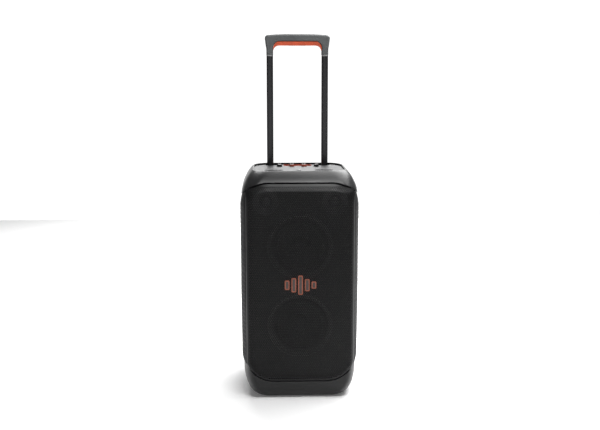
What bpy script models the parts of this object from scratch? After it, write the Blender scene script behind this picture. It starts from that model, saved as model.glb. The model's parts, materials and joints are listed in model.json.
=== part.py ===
"""A party speaker on wheels: a tall two-way loudspeaker with a telescopic trolley handle.

Metres, +Z up. The front looks along -Y and the origin is on the floor, under the middle of the
body. The handle is drawn out, as in use. Each named object is one separate piece.
"""

import math

import bmesh
import bpy
from mathutils import Matrix

# ---------------------------------------------------------------- driving dimensions
GAP = 0.0003  # left between two pieces that touch
BODY_HALF_WIDTH = 0.1603  # at the top and bottom caps
SIDE_HALF_WIDTH, SIDE_LOW_HALF_WIDTH = 0.1660, 0.1638  # over the side panels, and at their foot
FRONT_Y = -0.1575  # flat face of the grille
BADGE_Y = -0.160
BACK_Y = 0.160
FLOOR_GAP = 0.004  # the bottom cap's underside over the floor
CAP_LOW_Z = 0.0940  # upper edge of the bottom cap at the sides
SEAM_SIDE_Z = 0.5735  # lower edge of the top cap at the sides
SEAM_FRONT_Z = 0.610  # and at the middle of the front
RIM_Z = 0.638
PANEL_Z = 0.633  # upper face of the control panel

SHOULDER_Z, SHOULDER_HEIGHT, SHOULDER_REACH, SHOULDER_POWER = 0.570, 0.083, 0.062, 1.85
BROW_Z, BROW_HEIGHT, BROW_REACH, BROW_POWER = 0.585, 0.056, 0.0525, 1.6
NAPE_HEIGHT, NAPE_REACH = 0.075, 0.0675
CAP_LIP = 0.0020  # how far the top cap stands out at its lower edge
BILGE_Z, BILGE_REACH, BILGE_POWER = 0.085, 0.050, 2.2
CHIN_Z, CHIN_REACH = 0.045, 0.026
HEEL_Z, HEEL_REACH = 0.110, 0.075

GRILLE_HALF_WIDTH, GRILLE_LOW_Z = 0.150, 0.050
GRILLE_CORNER = (0.075, 0.058)
SEAM_FLAT_HALF, SEAM_POWER = 0.090, 1.65
SEAM_KNOTS = (0.0, 0.091, 0.112, 0.127, 0.140, 0.150, 0.157, 0.162)
GRILLE_BACK_Y = -0.1385
BAFFLE_FRONT_Y, BAFFLE_BACK_Y = -0.138, -0.130

WOOFER_Z = {"upper": 0.4315, "lower": 0.2080}
WOOFER_FLANGE_RADIUS = 0.085
TWEETER_X, TWEETER_Z, TWEETER_RADIUS = 0.0955, 0.555, 0.036

HANDLE_X, HANDLE_Y = 0.0806, 0.100
HANDLE_TRAVEL = 0.347
TUBE_SIZE, TUBE_CORNER, TUBE_WALL = (0.0192, 0.0220), 0.0070, 0.0015
TUBE_LOW_Z, GRIP_LOW_Z, GRIP_TOP_Z, GRIP_DEPTH = 0.565, 0.956, 1.016, 0.027
GUIDE_LOW_Z, GUIDE_TOP_Z, GUIDE_WALL = 0.2125, 0.6060, 0.0020
GRIP_CORNER_X, GRIP_CORNER_Z, GRIP_CORNER = 0.050, 0.958, (0.0214, 0.0250)  # of its opening
LINER_SIDE, LINER_THICKNESS = 0.0018, 0.0115
RELEASE_LOW_Z = 0.9824  # underside of the release bar, just proud of the liner
LEG_SPARE = 0.0080  # left on the legs for rounding, then cut off flat
PIN_Z, PIN_RADIUS, PIN_LENGTH = 0.575, 0.0025, 0.0085

WHEEL_X, WHEEL_Y, WHEEL_RADIUS, WHEEL_WIDTH = 0.1185, 0.112, 0.040, 0.042
WELL_RADIUS, WELL_INNER_X, AXLE_RADIUS = 0.0445, 0.0930, 0.0050

KNOB_X, KNOB_Y, KNOB_RADIUS, KNOB_TOP_Z = (-0.054, -0.018, 0.018, 0.054), 0.055, 0.0078, 0.6400
BUTTON_Y, TRAY_X, TRAY_SIZE = -0.046, 0.070, (0.052, 0.020)
BUTTON_OFFSET_X, BUTTON_SIZE = 0.0115, (0.0200, 0.0130)
BUTTON_TOP_Z = 0.6310  # sunk in their trays
POWER_RADIUS, STEM_LOW_Z = 0.0075, 0.6222
BOARD_Z, BOARD_THICKNESS = 0.6150, 0.0016
SCOOP_Y = 0.0900  # middle of the finger space under the lowered grip

REAR_PANEL_HALF, REAR_PANEL_LOW_Z, REAR_PANEL_TOP_Z = 0.118, 0.118, 0.5584
REAR_PANEL_FRONT_Y = 0.1555
IO_HALF, IO_LOW_Z, IO_TOP_Z, IO_FLOOR_Y = 0.062, 0.458, 0.542, 0.1445
PORT_Z, PORT_RADIUS, PORT_FLANGE = 0.310, 0.026, 0.034
DOOR_HALF, DOOR_LOW_Z, DOOR_TOP_Z = 0.080, 0.130, 0.210
DOOR_AXIS = (0.1575, 0.1322)  # y, z

SIDES = (("left", -1), ("right", 1))
ROUND_STEPS = 18  # facets round a woofer
LEVELS = (0.004, 0.010, 0.019, 0.033, 0.052, 0.075, 0.110, 0.300)
LEVELS += (0.572, 0.588, 0.602, 0.614, 0.624, 0.632, 0.638)
SWELL_LEVELS = LEVELS[:6] + (0.0943, 0.098, 0.103, 0.109, 0.116, 0.300, 0.542, 0.558, 0.567) + LEVELS[8:]
CORNER_STEPS = 5  # facets in each corner of the body's outline


# ---------------------------------------------------------------- making solids
def clear_scene():
    for old in list(bpy.data.objects):
        bpy.data.objects.remove(old, do_unlink=True)


def make_material(name, color, roughness, metallic=0.0):
    made = bpy.data.materials.new(name)
    made.use_nodes = True
    shader = made.node_tree.nodes["Principled BSDF"]
    shader.inputs["Base Color"].default_value = (*color, 1.0)
    shader.inputs["Roughness"].default_value = roughness
    shader.inputs["Metallic"].default_value = metallic
    return made


def clear_of_repeats(points):
    """The outline without a point that repeats the one before it."""
    return [p for p, q in zip(points, points[-1:] + points[:-1]) if math.dist(p, q) > 1e-7]


def to_object(name, bm):
    bmesh.ops.recalc_face_normals(bm, faces=bm.faces)
    mesh = bpy.data.meshes.new(name)
    bm.to_mesh(mesh)
    bm.free()
    made = bpy.data.objects.new(name, mesh)
    bpy.context.scene.collection.objects.link(made)
    return made


def loft(name, loops):
    """A closed solid through loops with equal counts of points, capped at both ends."""
    bm = bmesh.new()
    rings = [[bm.verts.new(point) for point in loop] for loop in loops]
    for low, high in zip(rings, rings[1:]):
        for i in range(len(low)):
            bm.faces.new((low[i - 1], low[i], high[i], high[i - 1]))
    bm.faces.new(rings[0])
    bm.faces.new(rings[-1])
    return to_object(name, bm)


PLACED = {
    "X": lambda u, v, w: (w, u, v),
    "Y": lambda u, v, w: (u, w, v),
    "Z": lambda u, v, w: (u, v, w),
}


def prism(name, outline, axis, low, high):
    """A flat outline pushed along an axis. The outline is (y, z), (x, z) or (x, y) for X, Y or Z."""
    place = PLACED[axis]
    outline = clear_of_repeats(outline)
    return loft(name, [[place(u, v, w) for u, v in outline] for w in (low, high)])


def lathe(name, profile, axis, centre, steps):
    """Turns a closed (radius, along) profile about an axis through centre, (u, v) off the axis."""
    bm = bmesh.new()
    place = PLACED[axis]
    rings = []
    for radius, along in profile:
        if radius < 1e-6:
            rings.append([bm.verts.new(place(*centre, along))])
            continue
        turn = [2 * math.pi * k / steps for k in range(steps)]
        rings.append(
            [
                bm.verts.new(
                    place(centre[0] + radius * math.cos(a), centre[1] + radius * math.sin(a), along)
                )
                for a in turn
            ]
        )
    for first, second in zip(rings, rings[1:] + rings[:1]):
        if len(first) == 1 and len(second) == 1:
            continue
        for k in range(steps):
            corners = [first[k - 1], first[k % len(first)]] if len(first) > 1 else [first[0]]
            corners += [second[k % len(second)], second[k - 1]] if len(second) > 1 else [second[0]]
            bm.faces.new(corners)
    return to_object(name, bm)


def tube(name, outer, inner, axis, centre, low, high, steps=20):
    profile = [(inner, low), (outer, low), (outer, high), (inner, high)]
    return lathe(name, profile, axis, centre, steps)


def cylinder(name, radius, axis, centre, low, high, steps=20):
    return lathe(name, [(0, low), (radius, low), (radius, high), (0, high)], axis, centre, steps)


def box(name, low, high):
    outline = [(low[0], low[1]), (high[0], low[1]), (high[0], high[1]), (low[0], high[1])]
    return prism(name, outline, "Z", low[2], high[2])


def evaluated(made):
    """Applies an object's modifiers to its own mesh."""
    graph = bpy.context.evaluated_depsgraph_get()
    mesh = bpy.data.meshes.new_from_object(made.evaluated_get(graph))
    made.modifiers.clear()
    made.data = mesh
    return made


def combine(target, operation, *others):
    """Cuts, joins or intersects target with each other solid, which is then removed."""
    for other in others:
        step = target.modifiers.new(operation, "BOOLEAN")
        step.operation = operation
        step.object = other
        evaluated(target)
        bpy.data.objects.remove(other, do_unlink=True)
    return target


def cut(target, *others):
    return combine(target, "DIFFERENCE", *others)


def join(target, *others):
    return combine(target, "UNION", *others)


def keep_inside(target, *others):
    return combine(target, "INTERSECT", *others)


def pivot(made, x, y, z):
    """Puts a moving piece's origin on its joint's axis."""
    made.data.transform(Matrix.Translation((-x, -y, -z)))
    made.location = (x, y, z)
    return made


def rounded(made, radius, segments=2, angle=40):
    """Rounds the edges that are sharper than angle."""
    step = made.modifiers.new("Round", "BEVEL")
    step.width = radius
    step.segments = segments
    step.limit_method = "ANGLE"
    step.angle_limit = math.radians(angle)
    return evaluated(made)


def finish(made, material, angle=35):
    made.data.materials.clear()
    made.data.materials.append(material)
    made.data.shade_smooth()
    made.data.set_sharp_from_angle(angle=math.radians(angle))
    return made


# ---------------------------------------------------------------- outlines
def arc(centre, radii, start, end, steps, power=2.0):
    """Points of an ellipse, or of a superellipse, from start to end in degrees."""
    points = []
    for k in range(steps + 1):
        a = math.radians(start + (end - start) * k / steps)
        c, s = math.cos(a), math.sin(a)
        u = math.copysign(abs(c) ** (2 / power), c)
        v = math.copysign(abs(s) ** (2 / power), s)
        points.append((centre[0] + radii[0] * u, centre[1] + radii[1] * v))
    return points


def rounded_rectangle(centre, size, radius, steps=3):
    u, v = size[0] / 2 - radius, size[1] / 2 - radius
    outline = []
    for index, (su, sv) in enumerate(((1, 1), (-1, 1), (-1, -1), (1, -1))):
        middle = (centre[0] + su * u, centre[1] + sv * v)
        outline += arc(middle, (radius, radius), 90 * index, 90 * index + 90, steps)
    return outline


def circle(centre, radius, steps=20):
    return arc(centre, (radius, radius), 0, 360, steps)[:-1]


def fall(t, power):
    """1 at t = 0 and below, down to 0 at t = 1 along a superellipse."""
    t = min(max(t, 0.0), 1.0)
    return (1.0 - t**power) ** (1.0 / power)


def mix(a, b, t):
    t = min(max(t, 0.0), 1.0)
    return a + (b - a) * t


# ---------------------------------------------------------------- the body's outer form
def cap_half_width(z):
    if z > SHOULDER_Z:
        drop = fall((z - SHOULDER_Z) / SHOULDER_HEIGHT, SHOULDER_POWER)
        return BODY_HALF_WIDTH - SHOULDER_REACH * (1 - drop)
    drop = fall((BILGE_Z - z) / BILGE_Z, BILGE_POWER)
    return mix(BODY_HALF_WIDTH - 0.0015, BODY_HALF_WIDTH, z / 0.3) - BILGE_REACH * (1 - drop)


def lipped_half_width(z):
    """The top cap's half width: it flares out a little towards its lower edge."""
    return cap_half_width(z) + CAP_LIP * fall((z - SEAM_SIDE_Z) / 0.034, 1.5)


def side_half_width(z):
    """Over the side panels, which swell out between the two caps."""
    swell = fall((z - 0.540) / 0.033, 1.4) * fall((0.114 - z) / 0.022, 1.6)
    width = mix(SIDE_LOW_HALF_WIDTH, SIDE_HALF_WIDTH, (z - 0.100) / 0.200)
    return mix(cap_half_width(z) - 0.0008, width, swell)


def front_y(z):
    top = BROW_REACH * (1 - fall((z - BROW_Z) / BROW_HEIGHT, BROW_POWER))
    low = CHIN_REACH * (1 - fall((CHIN_Z - z) / CHIN_Z, 2.0))
    return FRONT_Y + top + low


def back_y(z):
    top = NAPE_REACH * (1 - fall((z - SHOULDER_Z) / NAPE_HEIGHT, SHOULDER_POWER))
    low = HEEL_REACH * (1 - fall((HEEL_Z - z) / HEEL_Z, SHOULDER_POWER))
    return BACK_Y - top - low


def body_outline(z, inset=0.0, half_width=cap_half_width, steps=CORNER_STEPS):
    """The body's plan at height z, moved in by inset: flat front and back, elliptical corners."""
    top, low = mix(0, 1, (z - BROW_Z) / (RIM_Z - BROW_Z)), mix(0, 1, (CHIN_Z - z) / CHIN_Z)
    ends = max(top, low)
    half = half_width(z) - inset
    front, back = front_y(z) + inset, back_y(z) - inset
    widen = half_width(z) - cap_half_width(z)
    front_radii = (0.030 + 0.020 * top + 0.010 * low + widen - inset, mix(0.085, 0.050, ends) - inset)
    back_radii = (mix(0.040, 0.045, ends) + widen - inset, mix(0.100, 0.070, ends) - inset)
    right = arc((half - front_radii[0], front + front_radii[1]), front_radii, -90, 0, steps)
    right += arc((half - back_radii[0], back - back_radii[1]), back_radii, 0, 90, steps)
    return right + [(-x, y) for x, y in reversed(right)]


def body_solid(name, low, high, inset=0.0, half_width=cap_half_width):
    """The body from low to high: straight between the levels, so that its pieces match."""
    levels = SWELL_LEVELS if half_width is side_half_width else LEVELS
    drawn = [body_outline(z, inset, half_width) for z in levels]
    loops = []
    for z in [low] + [z for z in levels if low + 0.001 < z < high - 0.001] + [high]:
        above = min(max(1, sum(z > level for level in levels)), len(levels) - 1)
        t = (z - levels[above - 1]) / (levels[above] - levels[above - 1])
        pairs = zip(drawn[above - 1], drawn[above])
        loops.append([(mix(p[0], q[0], t), mix(p[1], q[1], t), z) for p, q in pairs])
    return loft(name, loops)


def seam_z(x):
    """Lower edge of the top cap, arched over the front and the back: straight between its knots."""
    knots = SEAM_KNOTS
    for low, high in zip(knots, knots[1:]):
        if abs(x) <= high:
            t = (abs(x) - low) / (high - low)
            return mix(arch_z(low), arch_z(high), t)
    return SEAM_SIDE_Z


def arch_z(x):
    t = (x - SEAM_FLAT_HALF) / (BODY_HALF_WIDTH - SEAM_FLAT_HALF)
    return SEAM_SIDE_Z + (SEAM_FRONT_Z - SEAM_SIDE_Z) * fall(t, SEAM_POWER)


def seam_points(half, shift):
    """The seam from +half to -half, moved up by shift."""
    xs = [half] + [x for x in reversed(SEAM_KNOTS) if 0 < x < half - 0.001]
    xs += [-x for x in reversed(xs)]
    return [(x, seam_z(x) + shift) for x in xs]


def grille_outline(inset):
    half = GRILLE_HALF_WIDTH - inset
    low = GRILLE_LOW_Z + inset
    radii = (GRILLE_CORNER[0] - inset, GRILLE_CORNER[1] - inset)
    corner = arc((half - radii[0], low + radii[1]), radii, -90, 0, 7, power=1.8)
    return (
        corner
        + seam_points(half, -2 * GAP - inset)
        + [(-x, z) for x, z in reversed(corner)]
    )


# ---------------------------------------------------------------- casing
def make_casing(plastic, metal, rubber, texture):
    wide = 0.3
    top = body_solid("top_cap", 0.560, RIM_Z, half_width=lipped_half_width)
    above = [(wide, 0.7), (-wide, 0.7)] + [(x, z) for x, z in reversed(seam_points(wide, 0))]
    keep_inside(top, prism("above", above, "Y", -wide, wide))
    cut(top, body_solid("hollow", 0.550, 0.700, inset=0.0035))
    finish(top, plastic)

    bottom = body_solid("bottom_cap", FLOOR_GAP, CAP_LOW_Z)
    hollow = body_solid("hollow", FLOOR_GAP + 0.005, 0.120, inset=0.004)
    for side in (-1, 1):
        ends = sorted((side * (WELL_INNER_X - 0.005), side * 0.2))
        cut(hollow, cylinder("well", WELL_RADIUS + 0.003, "X", (WHEEL_Y, WHEEL_RADIUS), *ends, 24))
    cut(bottom, hollow)
    cut(bottom, prism("grille_hole", grille_outline(-2 * GAP), "Y", -0.2, BAFFLE_BACK_Y + GAP))
    for side in (-1, 1):
        cut(bottom, wheel_well(side))
        ends = sorted((side * 0.08, side * 0.1))
        cut(bottom, cylinder("hole", AXLE_RADIUS + GAP, "X", (WHEEL_Y, WHEEL_RADIUS), *ends, 16))
        foot = rounded_rectangle((side * 0.090, -0.104), (0.0432, 0.0252), 0.0120, 4)
        cut(bottom, prism("seat", foot, "Z", -0.01, FLOOR_GAP + 0.002))
    finish(bottom, plastic)

    for name, side in SIDES:
        finish(foot_solid(f"front_foot_{name}", side * 0.090), rubber)

    shell = body_solid("cabinet_shell", CAP_LOW_Z + 2 * GAP, 0.625, inset=0.002)
    below = [(wide, 0.0), *seam_points(wide, -2 * GAP), (-wide, 0.0)]
    keep_inside(shell, prism("below", below, "Y", -wide, wide))
    cut(shell, body_solid("hollow", CAP_LOW_Z + 0.006, SHOULDER_Z - 0.004, inset=0.007))
    cut(shell, body_solid("hollow", SHOULDER_Z + 0.0005, 0.700, inset=0.007))
    cut(shell, prism("grille_hole", grille_outline(-2 * GAP), "Y", -0.2, BAFFLE_BACK_Y + GAP))
    cut(
        shell,
        rear_prism("rebate", REAR_PANEL_HALF + GAP, REAR_PANEL_LOW_Z - GAP, REAR_PANEL_TOP_Z + GAP,
                   REAR_PANEL_FRONT_Y - GAP, 0.2, 0.012),
        rear_prism("hole", 0.110, 0.124, 0.552, 0.14, 0.2, 0.012),
    )
    for side in (-1, 1):
        guide = tube_outline(side, GUIDE_WALL + 2 * GAP + GAP)
        cut(shell, prism("guide_hole", guide, "Z", 0.560, 0.580))
        cut(shell, wheel_well(side))
    cut(shell, box("tweeter_room", (-0.140, -0.1300, 0.555), (0.140, -0.1120, 0.580)))
    cut(shell, cylinder("wire_hole", 0.008, "Z", (0.0, 0.055), 0.560, 0.580, 12))
    finish(shell, plastic)

    for name, side in SIDES:
        panel = body_solid(f"side_panel_{name}", CAP_LOW_Z + 2 * GAP, 0.5722, 0.0, side_half_width)
        reach = sorted((side * (GRILLE_HALF_WIDTH + 2 * GAP), side * 0.2))
        keep_inside(panel, box("reach", (reach[0], -0.2, 0.0), (reach[1], 0.134, 0.6)))
        cut(panel, body_solid("inside", 0.060, 0.592, inset=0.002 - GAP), wheel_well(side))
        finish(panel, texture)

    grille = prism("front_grille", grille_outline(0.0), "Y", -0.2, GRILLE_BACK_Y)
    keep_inside(grille, body_solid("outside", 0.02, 0.63))
    inside = prism("inside", grille_outline(0.0018), "Y", -0.2, -0.120)
    keep_inside(inside, body_solid("skin", 0.01, 0.636, inset=0.0015))
    cut(grille, inside)
    finish(grille, metal)


def wheel_well(side):
    ends = sorted((side * WELL_INNER_X, side * 0.2))
    return cylinder("well", WELL_RADIUS, "X", (WHEEL_Y, WHEEL_RADIUS), *ends, 24)


def foot_solid(name, x):
    """A rubber pad with a rounded sole, set into the bottom cap."""
    loops = []
    for z, shrink in ((0.0, 0.006), (0.0008, 0.003), (0.002, 0.0006), (FLOOR_GAP + 0.0017, 0.0)):
        size = (0.0426 - 2 * shrink, 0.0246 - 2 * shrink)
        outline = rounded_rectangle((x, -0.104), size, 0.0117 - shrink, 4)
        loops.append([(u, v, z) for u, v in clear_of_repeats(outline)])
    return loft(name, loops)


def rear_prism(name, half, low, high, start, end, radius):
    outline = rounded_rectangle((0.0, (low + high) / 2), (2 * half, high - low), radius, 3)
    return prism(name, outline, "Y", start, end)


def make_baffle(board):
    baffle = prism("front_baffle", grille_outline(0.0025), "Y", BAFFLE_FRONT_Y, BAFFLE_BACK_Y)
    for z in WOOFER_Z.values():
        cut(baffle, cylinder("hole", 0.0740, "Y", (0.0, z), -0.15, -0.12, ROUND_STEPS))
    for side in (-1, 1):
        cut(baffle, cylinder("hole", 0.0265, "Y", (side * TWEETER_X, TWEETER_Z), -0.15, -0.12, 16))
    finish(baffle, board)


def make_badge(copper):
    """A plain level-meter mark: five bars on one thin rail, fixed to the grille."""
    badge = box("badge", (-0.042, BADGE_Y + 0.0014, 0.3247), (0.042, FRONT_Y - GAP, 0.3287))
    for index, height in enumerate((0.026, 0.040, 0.054, 0.034, 0.020)):
        x = (index - 2) * 0.0185
        bar = rounded_rectangle((x, 0.3267), (0.0130, height), 0.0030, 2)
        join(badge, prism("bar", bar, "Y", BADGE_Y, FRONT_Y - GAP))
    finish(badge, copper)


# ---------------------------------------------------------------- loudspeakers
def make_woofers(steel, rubber, paper, magnet, diffuser):
    flange_front = BAFFLE_FRONT_Y - GAP - 0.004
    for place, z in WOOFER_Z.items():
        centre = (0.0, z)
        basket = [
            (WOOFER_FLANGE_RADIUS, flange_front),
            (WOOFER_FLANGE_RADIUS, BAFFLE_FRONT_Y - GAP),
            (0.0732, BAFFLE_FRONT_Y - GAP),
            (0.0722, -0.1280),
            (0.0480, -0.0900),
            (0.0195, -0.0900),
            (0.0195, -0.0918),
            (0.0470, -0.0918),
            (0.0700, -0.1290),
            (0.0705, flange_front),
        ]
        finish(lathe(f"woofer_{place}_basket", basket, "Y", centre, ROUND_STEPS), steel)
        lip = flange_front - GAP
        roll = [(0.0788, lip), (0.0768, lip)]
        roll += [(r, y) for r, y in arc((0.0700, lip), (0.0060, 0.0062), 0, -180, 4)]
        roll += [(0.0618, lip), (0.0618, lip - 0.0010)]
        roll += [(r, y) for r, y in arc((0.0700, lip - 0.0010), (0.0070, 0.0062), -180, 0, 4)]
        roll += [(0.0788, lip - 0.0010)]
        finish(lathe(f"woofer_{place}_surround", roll, "Y", centre, ROUND_STEPS), rubber)
        cone = [
            (0.0612, lip - 0.0010),
            (0.0614, lip + 0.0006),
            (0.0420, -0.1255),
            (0.0180, -0.1110),
            (0.0180, -0.0970),
            (0.0168, -0.0970),
            (0.0168, -0.1122),
            (0.0415, -0.1270),
        ]
        cone = lathe(f"woofer_{place}_cone", cone, "Y", centre, ROUND_STEPS)
        dome = [(0.0, -0.1262), (0.0100, -0.1250), (0.0190, -0.1210), (0.0250, -0.1165)]
        dome += [(0.0232, -0.1160), (0.0180, -0.1196), (0.0095, -0.1236), (0.0, -0.1248)]
        join(cone, lathe("dust_cap", dome, "Y", centre, ROUND_STEPS))
        finish(pivot(cone, 0.0, -0.12, z), paper)
        magnet_solid = cylinder(f"woofer_{place}_magnet", 0.0475, "Y", centre, -0.0897, -0.0660, 24)
        finish(magnet_solid, magnet)
        front = flange_front - 0.001
        ring = tube(f"light_ring_{place}", 0.0910, 0.0856, "Y", centre, front, -0.1383, ROUND_STEPS)
        finish(ring, diffuser)


def make_tweeters(plastic):
    back = BAFFLE_FRONT_Y - GAP
    for name, side in SIDES:
        centre = (side * TWEETER_X, TWEETER_Z)
        horn = [
            (TWEETER_RADIUS, back),
            (0.0260, back),
            (0.0240, -0.1160),
            (0.0, -0.1160),
            (0.0, -0.1360),
            (0.0070, -0.1345),
            (0.0122, -0.1310),
            (0.0138, -0.1288),
            (0.0150, -0.1285),
            (0.0165, -0.1330),
            (0.0260, -0.1385),
            (0.0330, -0.1425),
            (TWEETER_RADIUS, -0.1425),
        ]
        finish(lathe(f"tweeter_{name}", horn, "Y", centre, 16), plastic)


# ---------------------------------------------------------------- control panel
def make_controls(panel_plastic, gloss, accent, diffuser, board):
    panel_low = PANEL_Z - 0.003
    outline = body_outline(PANEL_Z + 0.0006, inset=0.0039)
    panel = prism("control_panel", outline, "Z", panel_low, PANEL_Z)
    sleeves, bores = [], []
    for side in (-1, 1):
        centre = (side * (HANDLE_X - 0.0029), HANDLE_Y)
        size = (0.0336, 0.0290)
        around = rounded_rectangle(centre, (size[0] + 0.003, size[1] + 0.003), 0.0075, 3)
        sleeves.append(prism("sleeve", around, "Z", 0.6075, PANEL_Z - 0.001))
        well = rounded_rectangle(centre, size, 0.0060, 3)
        bores.append(prism("well", well, "Z", 0.6085, 0.650))
        bores.append(prism("bore", tube_outline(side, 2 * GAP), "Z", 0.600, 0.620))
    join(panel, *sleeves)
    cut(panel, *bores)
    scoop_hole = rounded_rectangle((0.0, SCOOP_Y), (0.0846, 0.0446), 0.0083)
    cut(panel, prism("scoop", scoop_hole, "Z", 0.600, 0.650))
    for x in KNOB_X:
        cut(panel, cylinder("hole", 0.0036, "Z", (x, KNOB_Y), 0.62, 0.65, 12))
    for side in (-1, 1):
        tray = rounded_rectangle((side * TRAY_X, BUTTON_Y), TRAY_SIZE, 0.0095)
        around = rounded_rectangle(
            (side * TRAY_X, BUTTON_Y), (TRAY_SIZE[0] + 0.003, TRAY_SIZE[1] + 0.003), 0.0110
        )
        join(panel, prism("tray_wall", around, "Z", PANEL_Z - 0.0067, PANEL_Z - 0.001))
        cut(panel, prism("tray", tray, "Z", PANEL_Z - 0.0055, 0.65))
        for offset in (-BUTTON_OFFSET_X, BUTTON_OFFSET_X):
            centre = (side * TRAY_X + offset, BUTTON_Y)
            cut(panel, cylinder("hole", 0.0023, "Z", centre, 0.61, 0.65, 8))
    cut(panel, cylinder("hole", POWER_RADIUS + 0.0033, "Z", (0.0, BUTTON_Y), 0.62, 0.65, 16))
    finish(panel, panel_plastic)

    outer = rounded_rectangle((0.0, SCOOP_Y), (0.0840, 0.0440), 0.0080)
    inner = rounded_rectangle((0.0, SCOOP_Y), (0.0804, 0.0404), 0.0062)
    liner = prism("grip_recess_liner", outer, "Z", 0.6085, PANEL_Z + 0.0004)
    finish(cut(liner, prism("hollow", inner, "Z", 0.6103, 0.650)), accent)

    board_top = BOARD_Z + BOARD_THICKNESS
    circuit = box("control_board", (-0.100, -0.086, BOARD_Z), (0.100, 0.066, board_top))
    for number, x in enumerate(KNOB_X, 1):
        knob = [(0.0, 0.6200), (0.0029, 0.6200), (0.0029, PANEL_Z + GAP)]
        knob += [(KNOB_RADIUS, PANEL_Z + GAP), (KNOB_RADIUS - 0.0004, KNOB_TOP_Z - 0.0010)]
        knob += [(KNOB_RADIUS - 0.0012, KNOB_TOP_Z), (0.0, KNOB_TOP_Z)]
        knob = lathe(f"knob_{number}", knob, "Z", (x, KNOB_Y), 14)
        finish(pivot(knob, x, KNOB_Y, PANEL_Z), gloss)
        pot = [(0.0033, 0.6295), (0.0080, 0.6295), (0.0080, BOARD_Z + 0.0005)]
        pot += [(0.0, BOARD_Z + 0.0005), (0.0, 0.6196), (0.0033, 0.6196)]
        join(circuit, lathe("pot", pot, "Z", (x, KNOB_Y), 10))

    for side, names in ((-1, ("pairing", "lights")), (1, ("party", "bass"))):
        for offset, name in zip((-BUTTON_OFFSET_X, BUTTON_OFFSET_X), names):
            centre = (side * TRAY_X + offset, BUTTON_Y)
            outline = rounded_rectangle(centre, BUTTON_SIZE, 0.0055)
            cap = prism("cap", outline, "Z", BUTTON_TOP_Z - 0.0020, BUTTON_TOP_Z)
            join(cap, cylinder("stem", 0.0018, "Z", centre, STEM_LOW_Z, BUTTON_TOP_Z - 0.001, 8))
            cap.name = f"{name}_button"
            finish(pivot(cap, *centre, PANEL_Z), gloss)
            join(circuit, switch_solid(*centre))

    power = [(0.0, STEM_LOW_Z), (0.0018, STEM_LOW_Z), (0.0018, 0.6290), (POWER_RADIUS, 0.6290)]
    power += [(POWER_RADIUS, PANEL_Z + 0.0008), (POWER_RADIUS - 0.0006, PANEL_Z + 0.0014)]
    power += [(0.0, PANEL_Z + 0.0010)]
    power = lathe("power_button", power, "Z", (0.0, BUTTON_Y), 16)
    finish(pivot(power, 0.0, BUTTON_Y, PANEL_Z), gloss)
    join(circuit, switch_solid(0.0, BUTTON_Y))
    finish(circuit, board)
    ring = tube("power_light_ring", POWER_RADIUS + 0.0030, POWER_RADIUS + GAP, "Z",
                (0.0, BUTTON_Y), panel_low, PANEL_Z + 0.0006, 16)
    finish(ring, diffuser)


def switch_solid(x, y):
    """A push switch on the control board, just out of reach of its button's stem."""
    return box("switch", (x - 0.003, y - 0.003, BOARD_Z + 0.0005), (x + 0.003, y + 0.003, 0.6205))


# ---------------------------------------------------------------- trolley handle
def tube_outline(side, grow):
    """The handle tube's section on one side, made larger by grow all round."""
    size = (TUBE_SIZE[0] + 2 * grow, TUBE_SIZE[1] + 2 * grow)
    return rounded_rectangle((side * HANDLE_X, HANDLE_Y), size, TUBE_CORNER + grow, 4)


def grip_arc(grow, lift, start, end):
    """A corner of the grip's opening, made wider by grow and higher by lift."""
    radii = (GRIP_CORNER[0] + grow, GRIP_CORNER[1] + lift)
    return arc((GRIP_CORNER_X, GRIP_CORNER_Z), radii, start, end, 6, power=2.6)


def grip_outline():
    """The grip seen from the front: wide shoulders, and two legs down to the tubes."""
    leg_in, leg_out = HANDLE_X - TUBE_SIZE[0] / 2, HANDLE_X + TUBE_SIZE[0] / 2
    foot = GRIP_LOW_Z - LEG_SPARE
    right = [(leg_in - 0.0006, foot), (leg_out + 0.0006, foot)]
    right += [(leg_out + 0.0003, 0.968), (leg_out + 0.0022, 0.982), (0.0949, 1.003)]
    right += arc((0.0837, 1.0045), (0.0112, 0.0090), 0, 84, 4)
    right += [(0.040, GRIP_TOP_Z)]
    under = grip_arc(LINER_SIDE, LINER_THICKNESS, 88, 30)
    left = [(-x, z) for x, z in reversed(right)]
    return right + left + [(-x, z) for x, z in reversed(under)] + under


def liner_outline():
    """The soft insert under the grip, thick in the middle and running down its legs."""
    top = grip_arc(LINER_SIDE - GAP, LINER_THICKNESS - GAP, 88, 30)
    under = grip_arc(0.0, 0.0, 18, 88)
    return under + [(-x, z) for x, z in reversed(under)] + [(-x, z) for x, z in reversed(top)] + top


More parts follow.
